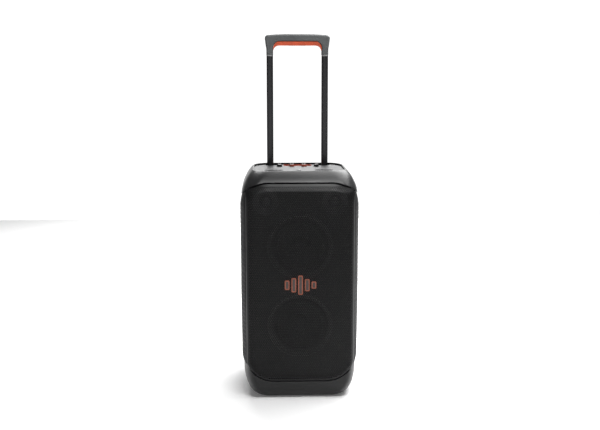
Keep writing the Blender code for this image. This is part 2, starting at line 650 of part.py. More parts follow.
def make_handle(soft, accent, tube_metal, guide_metal, steel):
    front, back = HANDLE_Y - GRIP_DEPTH / 2, HANDLE_Y + GRIP_DEPTH / 2
    grip = rounded(prism("handle_grip", grip_outline(), "Y", front, back), 0.0055, 1, 50)
    cut(grip, box("leg_ends", (-0.2, 0.0, 0.9), (0.2, 0.2, GRIP_LOW_Z)))
    cut(grip, box("channel", (-0.0850, 0.0962, 0.9900), (0.0850, 0.1038, 1.0065)))
    cut(grip, box("pocket", (-0.0260, 0.0918, 0.9800), (0.0260, 0.1082, 1.0000)))
    for side in (-1, 1):
        cut(grip, cylinder("bore", 0.0038, "Z", (side * HANDLE_X, HANDLE_Y), 0.950, 0.995, 12))
    finish(grip, soft)

    liner = prism("grip_liner", liner_outline(), "Y", front + 0.0012, back - 0.0012)
    rounded(liner, 0.003, 1, 50)
    cut(liner, box("hole", (-0.0256, 0.0922, 0.970), (0.0256, 0.1078, 1.000)))
    cut(liner, box("channel", (-0.0850, 0.0962, 0.9900), (0.0850, 0.1038, 1.0065)))
    finish(liner, accent)

    button = rounded(
        box("release_button", (-0.0250, 0.0928, RELEASE_LOW_Z), (0.0250, 0.1072, 0.9925)), 0.0020, 2
    )
    finish(pivot(button, 0.0, HANDLE_Y, RELEASE_LOW_Z), accent)
    linkage = box("release_linkage", (-0.0825, 0.0975, 0.9928), (0.0825, 0.1025, 0.9985))
    cut(linkage, box("step", (-0.0700, 0.09, 0.9800), (-0.0255, 0.11, 0.9940)))
    cut(linkage, box("step", (0.0255, 0.09, 0.9800), (0.0700, 0.11, 0.9940)))
    for side in (-1, 1):
        join(linkage, cylinder("rod", 0.0020, "Z", (side * HANDLE_X, HANDLE_Y), 0.5810, 0.9950, 10))
    finish(linkage, steel)

    for name, side in SIDES:
        made = prism(f"handle_tube_{name}", tube_outline(side, 0.0), "Z", TUBE_LOW_Z, GRIP_LOW_Z - GAP)
        cut(made, prism("hollow", tube_outline(side, -TUBE_WALL), "Z", 0.5, 1.0))
        inner_face = side * (HANDLE_X - TUBE_SIZE[0] / 2)
        reach = sorted((inner_face - side * 0.01, inner_face + side * 0.004))
        cut(made, cylinder("hole", PIN_RADIUS + GAP, "X", (HANDLE_Y, PIN_Z), *reach, 10))
        finish(made, tube_metal)

        guide = prism(f"guide_tube_{name}", tube_outline(side, GUIDE_WALL + 2 * GAP), "Z",
                      GUIDE_LOW_Z, GUIDE_TOP_Z)
        cut(guide, prism("hollow", tube_outline(side, 2 * GAP), "Z", 0.1, 0.7))
        slot_low = PIN_Z - HANDLE_TRAVEL - 0.004
        low = (reach[0], HANDLE_Y - 0.0032, slot_low)
        cut(guide, box("slot", low, (reach[1], HANDLE_Y + 0.0032, PIN_Z + 0.0032)))
        finish(guide, guide_metal)

        tip = inner_face - side * 0.0020
        ends = sorted((tip, tip + side * PIN_LENGTH))
        pin = cylinder(f"lock_pin_{name}", PIN_RADIUS, "X", (HANDLE_Y, PIN_Z), *ends, 10)
        finish(pivot(pin, tip, HANDLE_Y, PIN_Z), steel)


# ---------------------------------------------------------------- wheels
def make_wheels(rubber, plastic, steel):
    centre = (WHEEL_Y, WHEEL_RADIUS)
    half, rim = WHEEL_WIDTH / 2, 0.0280
    for name, side in SIDES:
        x = side * WHEEL_X
        tread = [
            (rim + GAP, x - half + 0.002),
            (rim + 0.0060, x - half),
            (WHEEL_RADIUS - 0.0025, x - half + 0.001),
            (WHEEL_RADIUS, x - half + 0.006),
            (WHEEL_RADIUS, x + half - 0.006),
            (WHEEL_RADIUS - 0.0025, x + half - 0.001),
            (rim + 0.0060, x + half),
            (rim + GAP, x + half - 0.002),
        ]
        tyre = lathe(f"wheel_{name}_tyre", tread, "X", centre, 24)
        finish(pivot(tyre, x, WHEEL_Y, WHEEL_RADIUS), rubber)
        out = x + side * half
        hub = [
            (AXLE_RADIUS + GAP, x - side * (half - 0.002)),
            (0.0110, x - side * (half - 0.002)),
            (0.0130, x - side * 0.004),
            (0.0245, x - side * 0.004),
            (0.0262, x - side * (half - 0.003)),
            (rim, x - side * (half - 0.003)),
            (rim, out - side * 0.002),
            (0.0250, out - side * 0.002),
            (0.0230, out - side * 0.007),
            (0.0120, out - side * 0.005),
            (AXLE_RADIUS + GAP, out - side * 0.005),
        ]
        hub = lathe(f"wheel_{name}_hub", hub, "X", centre, 20)
        finish(pivot(hub, x, WHEEL_Y, WHEEL_RADIUS), plastic)
    cap = WHEEL_X + half - 0.0047
    half_axle = [(AXLE_RADIUS, cap), (0.0095, cap), (0.0090, cap + 0.0032), (0.0, cap + 0.0037)]
    axle = [(r, -x) for r, x in reversed(half_axle)] + half_axle
    finish(lathe("wheel_axle", axle, "X", centre, 16), steel)


# ---------------------------------------------------------------- back
def make_rear_panel(plastic, gloss, rubber, board):
    panel = rear_prism("rear_panel", REAR_PANEL_HALF, REAR_PANEL_LOW_Z, REAR_PANEL_TOP_Z,
                       REAR_PANEL_FRONT_Y, BACK_Y, 0.0117)
    cut(
        panel,
        rear_prism("io_hole", IO_HALF + GAP, IO_LOW_Z - GAP, IO_TOP_Z + GAP, 0.14, 0.2, 0.0083),
        rear_prism("door_hole", DOOR_HALF + 0.0006, DOOR_LOW_Z - 0.0006, DOOR_TOP_Z + 0.0008,
                   0.14, 0.2, 0.0030),
        cylinder("port_hole", PORT_FLANGE + GAP, "Y", (0.0, PORT_Z), 0.14, 0.2, ROUND_STEPS),
    )
    ear_x = (DOOR_HALF - 0.0100, DOOR_HALF + 0.0040)
    for side in (-1, 1):
        xs = sorted((side * ear_x[0], side * ear_x[1]))
        y, z = DOOR_AXIS
        low, high = (xs[0], REAR_PANEL_FRONT_Y, DOOR_LOW_Z - 0.0020), (xs[1], y + 0.0022, z + 0.0022)
        ear = box("ear", low, high)
        join(panel, ear)
        bore = sorted((side * (ear_x[0] - 0.002), side * (DOOR_HALF - 0.003)))
        cut(panel, cylinder("bore", 0.0013, "X", DOOR_AXIS, *bore, 10))
    for x in (-0.108, 0.108):
        for z in (0.128, 0.238, 0.338, 0.438, 0.548):
            cut(panel, cylinder("screw_seat", 0.0043, "Y", (x, z), 0.1578, 0.17, 8))
    finish(panel, plastic)

    port = [
        (PORT_RADIUS, 0.0550),
        (PORT_RADIUS + 0.0022, 0.0550),
        (PORT_RADIUS + 0.0022, REAR_PANEL_FRONT_Y - 0.004),
        (PORT_FLANGE, REAR_PANEL_FRONT_Y),
        (PORT_FLANGE, BACK_Y),
        (PORT_RADIUS + 0.0050, BACK_Y),
        (PORT_RADIUS + 0.0012, BACK_Y - 0.0040),
        (PORT_RADIUS, BACK_Y - 0.0100),
    ]
    finish(lathe("bass_port", port, "Y", (0.0, PORT_Z), ROUND_STEPS), gloss)
    make_sockets(plastic, gloss, rubber, board)
    make_battery(plastic, gloss)


JACKS = ((-0.046, 0.0100, 0.0034), (-0.021, 0.0100, 0.0034), (0.001, 0.0065, 0.0018))
SOCKET_Z, INLET = 0.519, (0.034, 0.479)


def make_sockets(plastic, gloss, rubber, board):
    """The recessed tray for plugs, its sockets, and the rubber flap over the mains inlet."""
    tray = rear_prism("io_panel", IO_HALF, IO_LOW_Z, IO_TOP_Z, IO_FLOOR_Y, BACK_Y, 0.0080)
    cut(tray, rear_prism("hollow", IO_HALF - 0.002, IO_LOW_Z + 0.002, IO_TOP_Z - 0.002,
                         IO_FLOOR_Y + 0.002, 0.2, 0.0060))
    for x, outer, _ in JACKS:
        cut(tray, cylinder("hole", outer - 0.0017, "Y", (x, SOCKET_Z), 0.14, 0.15, 12))
    usb_hole = rounded_rectangle((0.024, SOCKET_Z), (0.0166, 0.0096), 0.0012, 2)
    link_hole = rounded_rectangle((0.047, SOCKET_Z), (0.0126, 0.0066), 0.0030, 3)
    inlet_hole = rounded_rectangle(INLET, (0.0246, 0.0146), 0.0040, 3)
    for hole in (usb_hole, link_hole, inlet_hole):
        cut(tray, prism("hole", hole, "Y", 0.14, 0.15))
    finish(tray, plastic)

    floor = IO_FLOOR_Y + 0.002
    sockets = box("socket_board", (-0.058, 0.1310, 0.5070), (0.056, 0.1326, 0.5320))
    for x, outer, bore in JACKS:
        jack = [
            (bore, 0.1320), (outer - 0.0020, 0.1320), (outer - 0.0020, floor + GAP),
            (outer, floor + GAP), (outer, floor + 0.0012), (outer - 0.0030, floor + 0.0024),
            (bore, floor + 0.0024),
        ]
        join(sockets, lathe("jack", jack, "Y", (x, SOCKET_Z), 10))
    usb = prism("usb", rounded_rectangle((0.024, SOCKET_Z), (0.0160, 0.0090), 0.0010, 2), "Y",
                0.1320, floor + 0.0008)
    cut(usb, prism("slot", rounded_rectangle((0.024, SOCKET_Z), (0.0125, 0.0056), 0.0004, 1), "Y",
                   0.1355, 0.2))
    tongue = box("tongue", (0.0185, 0.1340, SOCKET_Z + 0.0006), (0.0295, 0.1440, SOCKET_Z + 0.0024))
    join(sockets, join(usb, tongue))
    link = prism("link", rounded_rectangle((0.047, SOCKET_Z), (0.0120, 0.0060), 0.0028, 3), "Y",
                 0.1320, floor + 0.0008)
    cut(link, prism("slot", rounded_rectangle((0.047, SOCKET_Z), (0.0090, 0.0032), 0.0015, 3), "Y",
                    0.1380, 0.2))
    finish(join(sockets, link), board)
    inlet = prism("mains_inlet", rounded_rectangle(INLET, (0.0240, 0.0140), 0.0038, 3), "Y",
                  0.1290, floor + 0.0010)
    cut(inlet, prism("well", rounded_rectangle(INLET, (0.0190, 0.0096), 0.0046, 3), "Y", 0.1325, 0.2))
    for offset in (-0.0045, 0.0045):
        pin = cylinder("pin", 0.0012, "Y", (INLET[0] + offset, INLET[1]), 0.1310, 0.1440, 8)
        join(inlet, pin)
    finish(inlet, gloss)

    y, z = FLAP_AXIS
    low = (INLET[0] - 0.0150, floor + 0.0016, INLET[1] - 0.0105)
    high = (INLET[0] + 0.0150, floor + 0.0036, z)
    flap = rounded(box("inlet_cover", low, high), 0.0008, 1)
    join(flap, cylinder("barrel", 0.0018, "X", (y, z), low[0] + 0.001, high[0] - 0.001, 10))
    pull = box("pull", (INLET[0] - 0.004, floor + 0.003, INLET[1] - 0.0095),
               (INLET[0] + 0.004, floor + 0.0060, INLET[1] - 0.0080))
    join(flap, pull)
    finish(pivot(flap, INLET[0], y, z), rubber)


FLAP_AXIS = (IO_FLOOR_Y + 0.0046, INLET[1] + 0.0105)


def make_battery(plastic, gloss):
    y, z = DOOR_AXIS
    front = REAR_PANEL_FRONT_Y + 0.001
    door = rear_prism("battery_door", DOOR_HALF, z, DOOR_TOP_Z, front, BACK_Y, 0.0028)
    for side in (-1, 1):
        xs = sorted((side * (DOOR_HALF - 0.0105), side * (DOOR_HALF + 0.001)))
        cut(door, box("ear_room", (xs[0], 0.15, 0.12), (xs[1], 0.17, z + 0.0034)))
    cut(door, box("low_edge", (-0.1, 0.15, 0.12), (0.1, 0.17, z + 0.0010)))
    join(door, cylinder("barrel", 0.0021, "X", DOOR_AXIS, -0.0690, 0.0690, 12))
    join(door, cylinder("pin", 0.0010, "X", DOOR_AXIS, -0.0765, 0.0765, 10))
    join(door, box("catch", (-0.009, 0.1530, 0.2020), (0.009, 0.1575, 0.2038)))
    cut(door, prism("finger_dish", rounded_rectangle((0.0, 0.2000), (0.0300, 0.0120), 0.0050, 4),
                    "Y", 0.1583, 0.17))
    for index in range(6):
        low = 0.146 + index * 0.0070
        cut(door, box("rib_gap", (-0.068, 0.1592, low), (0.068, 0.17, low + 0.0030)))
    finish(pivot(door, 0.0, *DOOR_AXIS), plastic)
    pack = rounded(box("battery_pack", (-0.0680, 0.0820, 0.1260), (0.0680, 0.1500, 0.2040)), 0.0040, 2)
    finish(pack, gloss)


# ---------------------------------------------------------------- electronics
def make_electronics(board, metal):
    amplifier = box("amplifier_board", (-0.062, 0.1280, 0.3500), (0.062, 0.1296, 0.4500))
    join(amplifier, box("sink_base", (-0.045, 0.1200, 0.3750), (0.045, 0.1284, 0.4400)))
    for index in range(7):
        x = -0.042 + index * 0.0140
        cut(amplifier, box("fin_gap", (x - 0.0035, 0.11, 0.37), (x + 0.0035, 0.1250, 0.45)))
    for x in (-0.055, 0.055):
        join(amplifier, cylinder("capacitor", 0.0055, "Y", (x, 0.3640), 0.1100, 0.1285, 12))
    finish(amplifier, metal)

    low = CAP_LOW_Z + 0.0160
    top = low + 0.0016
    supply = box("power_supply_board", (-0.075, -0.040, low), (0.075, 0.070, top))
    join(supply, box("transformer", (-0.030, -0.015, low + 0.0010), (0.012, 0.025, 0.1390)))
    for x, y in ((0.040, -0.010), (0.040, 0.018), (-0.055, 0.030)):
        join(supply, cylinder("capacitor", 0.0090, "Z", (x, y), low + 0.0010, 0.1370, 12))
    for x in (-0.070, 0.070):
        for y in (-0.035, 0.065):
            join(supply, cylinder("standoff", 0.0030, "Z", (x, y), CAP_LOW_Z + 0.0064, top - 0.0010, 8))
    finish(supply, board)


# ---------------------------------------------------------------- the speaker
def main():
    clear_scene()
    plastic = make_material("matte_black_plastic", (0.020, 0.020, 0.021), 0.55)
    texture = make_material("side_plastic", (0.022, 0.022, 0.023), 0.62)
    panel = make_material("panel_plastic", (0.035, 0.035, 0.036), 0.45)
    gloss = make_material("gloss_black_plastic", (0.015, 0.015, 0.016), 0.25)
    grille_paint = make_material("grille_paint", (0.016, 0.016, 0.017), 0.50)
    soft = make_material("grip_plastic", (0.045, 0.045, 0.047), 0.60)
    accent = make_material("orange_rubber", (0.80, 0.16, 0.045), 0.55)
    copper = make_material("copper_paint", (0.55, 0.16, 0.07), 0.35)
    rubber = make_material("black_rubber", (0.018, 0.018, 0.018), 0.85)
    paper = make_material("cone_paper", (0.030, 0.030, 0.030), 0.80)
    board = make_material("circuit_board", (0.02, 0.09, 0.04), 0.50)
    anodised = make_material("black_anodised", (0.030, 0.030, 0.032), 0.35, 1.0)
    steel = make_material("steel", (0.45, 0.45, 0.46), 0.35, 1.0)
    dark_steel = make_material("black_steel", (0.030, 0.030, 0.030), 0.45)
    diffuser = make_material("smoked_diffuser", (0.30, 0.30, 0.31), 0.40)

    make_casing(plastic, grille_paint, rubber, texture)
    make_baffle(plastic)
    make_badge(copper)
    make_woofers(dark_steel, rubber, paper, steel, diffuser)
    make_tweeters(plastic)
    make_controls(panel, gloss, accent, diffuser, board)
    make_handle(soft, accent, anodised, steel, steel)
    make_wheels(rubber, plastic, steel)
    make_rear_panel(plastic, gloss, rubber, board)
    make_electronics(board, steel)


main()
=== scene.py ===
"""The looks of a party speaker on wheels: its casing, grille, controls, trolley handle and back.

Metres, +Z up, the front looks along -Y. Every piece lies where the frame's solid lies, so the form
of the body is the same formula here, drawn finer.
"""

import json
import math

import bmesh
import bpy
import numpy as np
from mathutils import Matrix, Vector
from mathutils.geometry import delaunay_2d_cdt


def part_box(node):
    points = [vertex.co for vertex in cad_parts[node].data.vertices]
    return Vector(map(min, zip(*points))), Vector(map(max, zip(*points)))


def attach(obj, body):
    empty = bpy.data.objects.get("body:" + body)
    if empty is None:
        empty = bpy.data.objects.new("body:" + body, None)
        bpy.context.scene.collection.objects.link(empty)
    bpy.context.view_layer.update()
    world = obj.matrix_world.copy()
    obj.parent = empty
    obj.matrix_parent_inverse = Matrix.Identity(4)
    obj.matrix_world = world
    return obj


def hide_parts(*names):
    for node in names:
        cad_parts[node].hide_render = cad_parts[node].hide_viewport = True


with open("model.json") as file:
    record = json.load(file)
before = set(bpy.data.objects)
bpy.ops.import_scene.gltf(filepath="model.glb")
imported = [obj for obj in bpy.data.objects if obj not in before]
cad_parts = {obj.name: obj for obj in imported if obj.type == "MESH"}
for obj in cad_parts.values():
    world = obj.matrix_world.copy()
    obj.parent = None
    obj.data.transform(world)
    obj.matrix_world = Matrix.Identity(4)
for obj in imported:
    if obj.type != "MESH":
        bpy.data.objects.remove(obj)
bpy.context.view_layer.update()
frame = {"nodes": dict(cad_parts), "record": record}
NODES = frame["nodes"]

# ---------------------------------------------------------------- the body's form
GAP = 0.0003
BODY_HALF_WIDTH, SIDE_HALF_WIDTH, SIDE_LOW_HALF_WIDTH = 0.1603, 0.1660, 0.1638
FRONT_Y, BACK_Y = -0.1575, 0.160
FLOOR_GAP, CAP_LOW_Z = 0.004, 0.094
SEAM_SIDE_Z, SEAM_FRONT_Z, SEAM_FLAT_HALF, SEAM_POWER = 0.5735, 0.610, 0.090, 1.65
RIM_Z, PANEL_Z = 0.638, 0.633
SHOULDER_Z, SHOULDER_HEIGHT, SHOULDER_REACH, SHOULDER_POWER = 0.570, 0.083, 0.062, 1.85
BROW_Z, BROW_HEIGHT, BROW_REACH, BROW_POWER = 0.585, 0.056, 0.0525, 1.6
NAPE_HEIGHT, NAPE_REACH = 0.075, 0.0675
BILGE_Z, BILGE_REACH, BILGE_POWER = 0.085, 0.050, 2.2
CHIN_Z, CHIN_REACH = 0.045, 0.026
HEEL_Z, HEEL_REACH = 0.110, 0.075
GRILLE_HALF_WIDTH, GRILLE_LOW_Z, GRILLE_CORNER = 0.150, 0.050, (0.075, 0.058)
GRILLE_BACK_Y, BAFFLE_BACK_Y = -0.1385, -0.130
SIDES = (("left", -1), ("right", 1))


def fall(t, power):
    """1 at t = 0 and below, down to 0 at t = 1 along a superellipse."""
    t = min(max(t, 0.0), 1.0)
    return (1.0 - t**power) ** (1.0 / power)


def mix(a, b, t):
    t = min(max(t, 0.0), 1.0)
    return a + (b - a) * t


def smooth(t):
    t = min(max(t, 0.0), 1.0)
    return t * t * (3 - 2 * t)


def arc(centre, radii, start, end, steps, power=2.0):
    points = []
    for k in range(steps + 1):
        a = math.radians(start + (end - start) * k / steps)
        c, s = math.cos(a), math.sin(a)
        u = math.copysign(abs(c) ** (2 / power), c)
        v = math.copysign(abs(s) ** (2 / power), s)
        points.append((centre[0] + radii[0] * u, centre[1] + radii[1] * v))
    return points


def cap_half_width(z):
    if z > SHOULDER_Z:
        drop = fall((z - SHOULDER_Z) / SHOULDER_HEIGHT, SHOULDER_POWER)
        return BODY_HALF_WIDTH - SHOULDER_REACH * (1 - drop)
    drop = fall((BILGE_Z - z) / BILGE_Z, BILGE_POWER)
    return mix(BODY_HALF_WIDTH - 0.0015, BODY_HALF_WIDTH, z / 0.3) - BILGE_REACH * (1 - drop)


def side_half_width(z):
    """Over the side panels, which swell out between the two caps."""
    swell = fall((z - 0.540) / 0.033, 1.4) * fall((0.114 - z) / 0.022, 1.6)
    width = mix(SIDE_LOW_HALF_WIDTH, SIDE_HALF_WIDTH, (z - 0.100) / 0.200)
    return mix(cap_half_width(z) - 0.0008, width, swell)


def front_y(z):
    top = BROW_REACH * (1 - fall((z - BROW_Z) / BROW_HEIGHT, BROW_POWER))
    low = CHIN_REACH * (1 - fall((CHIN_Z - z) / CHIN_Z, 2.0))
    return FRONT_Y + top + low


def back_y(z):
    top = NAPE_REACH * (1 - fall((z - SHOULDER_Z) / NAPE_HEIGHT, SHOULDER_POWER))
    low = HEEL_REACH * (1 - fall((HEEL_Z - z) / HEEL_Z, SHOULDER_POWER))
    return BACK_Y - top - low


def body_outline(z, inset=0.0, half_width=cap_half_width, steps=18, flat=0):
    """The body's plan at height z, moved in by inset: elliptical corners, and flat points between."""
    top, low = mix(0, 1, (z - BROW_Z) / (RIM_Z - BROW_Z)), mix(0, 1, (CHIN_Z - z) / CHIN_Z)
    ends = max(top, low)
    half = half_width(z) - inset
    front, back = front_y(z) + inset, back_y(z) - inset
    widen = half_width(z) - cap_half_width(z)
    front_radii = (0.030 + 0.020 * top + 0.010 * low + widen - inset, mix(0.085, 0.050, ends) - inset)
    back_radii = (mix(0.040, 0.045, ends) + widen - inset, mix(0.100, 0.070, ends) - inset)
    right = arc((half - front_radii[0], front + front_radii[1]), front_radii, -90, 0, steps)
    right += arc((half - back_radii[0], back - back_radii[1]), back_radii, 0, 90, steps)
    shares = [k / (flat + 1) for k in range(1, flat + 1)]
    right = [(right[0][0] * t, right[0][1]) for t in shares] + right
    right += [(right[-1][0] * (1 - t), right[-1][1]) for t in shares]
    return right + [(-x, y) for x, y in reversed(right)]


def seam_z(x):
    """Lower edge of the top cap, arched over the front and the back."""
    t = (abs(x) - SEAM_FLAT_HALF) / (BODY_HALF_WIDTH - SEAM_FLAT_HALF)
    return SEAM_SIDE_Z + (SEAM_FRONT_Z - SEAM_SIDE_Z) * fall(t, SEAM_POWER)


def seam_points(half, shift, steps=60):
    """The seam from +half to -half, moved up by shift."""
    xs = [half * math.sin(math.pi / 2 * (1 - 2 * k / steps)) for k in range(steps + 1)]
    return [(x, seam_z(x) + shift) for x in xs]


def grille_outline(inset, steps=20, slot=0.0):
    """The grille from the front, drawn smaller by inset, its top lowered by slot under the cap."""
    half, low = GRILLE_HALF_WIDTH - inset, GRILLE_LOW_Z + inset
    radii = (GRILLE_CORNER[0] - inset, GRILLE_CORNER[1] - inset)
    corner = arc((half - radii[0], low + radii[1]), radii, -90, 0, steps, power=1.8)
    top = [(x, z - slot * mix(1.0, 0.3, (abs(x) - SEAM_FLAT_HALF) / 0.045))
           for x, z in seam_points(half, -2 * GAP - inset, 90)]
    return corner + top + [(-x, z) for x, z in reversed(corner)]


# ---------------------------------------------------------------- making solids
def to_object(name, bm):
    bmesh.ops.recalc_face_normals(bm, faces=bm.faces)
    mesh = bpy.data.meshes.new(name)
    bm.to_mesh(mesh)
    bm.free()
    made = bpy.data.objects.new(name, mesh)
    bpy.context.scene.collection.objects.link(made)
    return made


def loft(name, loops, closed=False):
    """A solid through loops with equal counts of points: capped at its ends, or closed on itself."""
    bm = bmesh.new()
    rings = [[bm.verts.new(point) for point in loop] for loop in loops]
    for low, high in zip(rings, rings[1:] + (rings[:1] if closed else [])):
        for i in range(len(low)):
            bm.faces.new((low[i - 1], low[i], high[i], high[i - 1]))
    if not closed:
        bm.faces.new(rings[0])
        bm.faces.new(rings[-1])
    return to_object(name, bm)


PLACED = {
    "X": lambda u, v, w: (w, u, v),
    "Y": lambda u, v, w: (u, w, v),
    "Z": lambda u, v, w: (u, v, w),
}


def clear_of_repeats(points):
    return [p for p, q in zip(points, points[-1:] + points[:-1]) if math.dist(p, q) > 1e-6]


def prism(name, outline, axis, low, high):
    """A flat outline pushed along an axis. The outline is (y, z), (x, z) or (x, y) for X, Y or Z."""
    spot = PLACED[axis]
    outline = clear_of_repeats(outline)
    return loft(name, [[spot(u, v, w) for u, v in outline] for w in (low, high)])


def pillow(name, outline_at, axis, low, high, radius, steps=4, ends=(True, True)):
    """A prism with rounded rims at its low and high ends: outline_at(inset) is drawn smaller there."""
    spot = PLACED[axis]
    turns = [math.pi / 2 * k / steps for k in range(steps + 1)]
    rim = [(radius * (1 - math.cos(a)), radius * (1 - math.sin(a))) for a in turns]
    sections = [(low + w, d) for w, d in rim] if ends[0] else [(low, 0.0)]
    sections += [(high - w, d) for w, d in reversed(rim)] if ends[1] else [(high, 0.0)]
    return loft(name, [[spot(u, v, w) for u, v in outline_at(d)] for w, d in sections])


def lathe(name, profile, axis, centre, steps=64):
    """Turns a closed (radius, along) profile about an axis through centre, (u, v) off the axis."""
    bm = bmesh.new()
    spot = PLACED[axis]
    turn = [2 * math.pi * k / steps for k in range(steps)]
    rings = []
    for radius, along in profile:
        if radius < 1e-6:
            rings.append([bm.verts.new(spot(*centre, along))])
            continue
        ring = [(centre[0] + radius * math.cos(a), centre[1] + radius * math.sin(a)) for a in turn]
        rings.append([bm.verts.new(spot(u, v, along)) for u, v in ring])
    for first, second in zip(rings, rings[1:] + rings[:1]):
        if len(first) == 1 and len(second) == 1:
            continue
        for k in range(steps):
            corners = [first[k - 1], first[k % len(first)]] if len(first) > 1 else [first[0]]
            corners += [second[k % len(second)], second[k - 1]] if len(second) > 1 else [second[0]]
            bm.faces.new(corners)
    return to_object(name, bm)


def cylinder(name, radius, axis, centre, low, high, steps=48):
    return lathe(name, [(0, low), (radius, low), (radius, high), (0, high)], axis, centre, steps)


def box(name, low, high):
    outline = [(low[0], low[1]), (high[0], low[1]), (high[0], high[1]), (low[0], high[1])]
    return prism(name, outline, "Z", low[2], high[2])


def rounded_rectangle(centre, size, radius, steps=8):
    u, v = size[0] / 2 - radius, size[1] / 2 - radius
    outline = []
    for index, (su, sv) in enumerate(((1, 1), (-1, 1), (-1, -1), (1, -1))):
        middle = (centre[0] + su * u, centre[1] + sv * v)
        outline += arc(middle, (radius, radius), 90 * index, 90 * index + 90, steps)
    return outline


def shrunk(centre, size, radius, inset, steps=8):
    """A rounded rectangle drawn smaller all round by inset."""
    size = (size[0] - 2 * inset, size[1] - 2 * inset)
    return rounded_rectangle(centre, size, radius - inset, steps)


def evaluated(made):
    """Applies an object's modifiers to its own mesh."""
    graph = bpy.context.evaluated_depsgraph_get()
    mesh = bpy.data.meshes.new_from_object(made.evaluated_get(graph))
    made.modifiers.clear()
    made.data = mesh
    return made


def combine(target, operation, *others):
    for other in others:
        step = target.modifiers.new(operation, "BOOLEAN")
        step.operation = operation
        step.object = other
        evaluated(target)
        bpy.data.objects.remove(other, do_unlink=True)
    return target


def cut(target, *others):
    return combine(target, "DIFFERENCE", *others)


def join(target, *others):
    return combine(target, "UNION", *others)


def rounded(made, radius, segments=3, angle=40):
    """Rounds the edges that are sharper than angle."""
    step = made.modifiers.new("Round", "BEVEL")
    step.width = radius
    step.segments = segments
    step.limit_method = "ANGLE"
    step.angle_limit = math.radians(angle)
    step.miter_outer = "MITER_ARC"
    return evaluated(made)


EVEN_FACES = 20000  # larger pieces are fine enough without it


def place(made, material, body, *nodes, slot=None, angle=35):
    """Gives a finished piece its material, its body and the solids that it stands for."""
    made.data.materials.clear()
    made.data.materials.append(material)
    made.data.shade_smooth()
    made.data.set_sharp_from_angle(angle=math.radians(angle))
    if len(made.data.polygons) < EVEN_FACES:
        step = made.modifiers.new("Even", "WEIGHTED_NORMAL")
        step.keep_sharp = True
        step.weight = 80
        evaluated(made)
    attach(made, body)
    if nodes:
        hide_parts(*nodes)
    return made


# ---------------------------------------------------------------- materials
class Surface:
    """A procedural finish: noise in object space drives its colour, roughness and bump."""

    def __init__(self, name, color, roughness, metallic=0.0, **sockets):
        self.made = bpy.data.materials.new(name)
        self.made.use_nodes = True
        self.nodes, self.links = self.made.node_tree.nodes, self.made.node_tree.links
        self.shader = self.nodes["Principled BSDF"]
        self.shader.inputs["Metallic"].default_value = metallic
        for socket, value in sockets.items():
            self.shader.inputs[socket.replace("_", " ")].default_value = value
        self.place = self.nodes.new("ShaderNodeTexCoord").outputs["Object"]
        self.color, self.roughness, self.normal = color, roughness, None

    def texture(self, kind, stretch, **sockets):
        """A texture in object space, which stretch squeezes along each axis."""
        mapping = self.nodes.new("ShaderNodeMapping")
        mapping.inputs["Scale"].default_value = stretch
        self.links.new(self.place, mapping.inputs["Vector"])
        made = self.nodes.new(kind)
        for socket, value in sockets.items():
            made.inputs[socket].default_value = value
        self.links.new(mapping.outputs["Vector"], made.inputs["Vector"])
        return made

    def noise(self, scale, detail=3.0, stretch=(1, 1, 1), rough=0.5):
        made = self.texture("ShaderNodeTexNoise", stretch, Scale=scale, Detail=detail, Roughness=rough)
        return made.outputs["Fac"]

    def cells(self, scale):
        return self.texture("ShaderNodeTexVoronoi", (1, 1, 1), Scale=scale).outputs["Distance"]

    def ramp(self, source, low, high, start=0.3, end=0.7):
        """Runs from colour low to colour high as source goes from start to end."""
        made = self.nodes.new("ShaderNodeValToRGB")
        made.color_ramp.elements[0].position, made.color_ramp.elements[1].position = start, end
        made.color_ramp.elements[0].color = (*low, 1.0)
        made.color_ramp.elements[1].color = (*high, 1.0)
        self.links.new(source, made.inputs["Fac"])
        return made.outputs["Color"]

    def tint(self, source, spread=0.15, start=0.3, end=0.7):
        """Varies the colour by spread, darker to lighter."""
        low = [c * (1 - spread) for c in self.color]
        high = [min(c * (1 + spread), 1.0) for c in self.color]
        self.links.new(self.ramp(source, low, high, start, end), self.shader.inputs["Base Color"])
        return self

    def polish(self, source, spread=0.08, start=0.3, end=0.7):
        """Varies the roughness by spread."""
        made = self.nodes.new("ShaderNodeMapRange")
        made.inputs["From Min"].default_value, made.inputs["From Max"].default_value = start, end
        made.inputs["To Min"].default_value = self.roughness - spread
        made.inputs["To Max"].default_value = self.roughness + spread
        self.links.new(source, made.inputs["Value"])
        self.links.new(made.outputs["Result"], self.shader.inputs["Roughness"])
        return self

    def bump(self, source, height, strength=1.0):
        """Adds relief of that height in metres."""
        made = self.nodes.new("ShaderNodeBump")
        made.inputs["Strength"].default_value = strength
        made.inputs["Distance"].default_value = height
        self.links.new(source, made.inputs["Height"])
        if self.normal is not None:
            self.links.new(self.normal, made.inputs["Normal"])
        self.normal = made.outputs["Normal"]
        self.links.new(self.normal, self.shader.inputs["Normal"])
        return self


def moulded(name, color, roughness, grain=900.0, height=0.00005, spread=0.05, **sockets):
    """Moulded plastic: a fine etched grain, with faint handling marks in its gloss."""
    made = Surface(name, color, roughness, **sockets)
    made.tint(made.noise(14.0, 4.0), 0.12)
    made.polish(made.noise(9.0, 5.0), spread)
    made.bump(made.noise(grain, 2.0), height)
    return made.made


def drawn_metal(name, color, roughness, stretch, **sockets):
    """Metal with streaks along the way that it was drawn or turned."""
    made = Surface(name, color, roughness, 1.0, **sockets)
    streaks = made.noise(420.0, 4.0, stretch)
    made.tint(streaks, 0.14)
    made.polish(streaks, 0.05)
    made.bump(streaks, 0.000005)
    return made.made


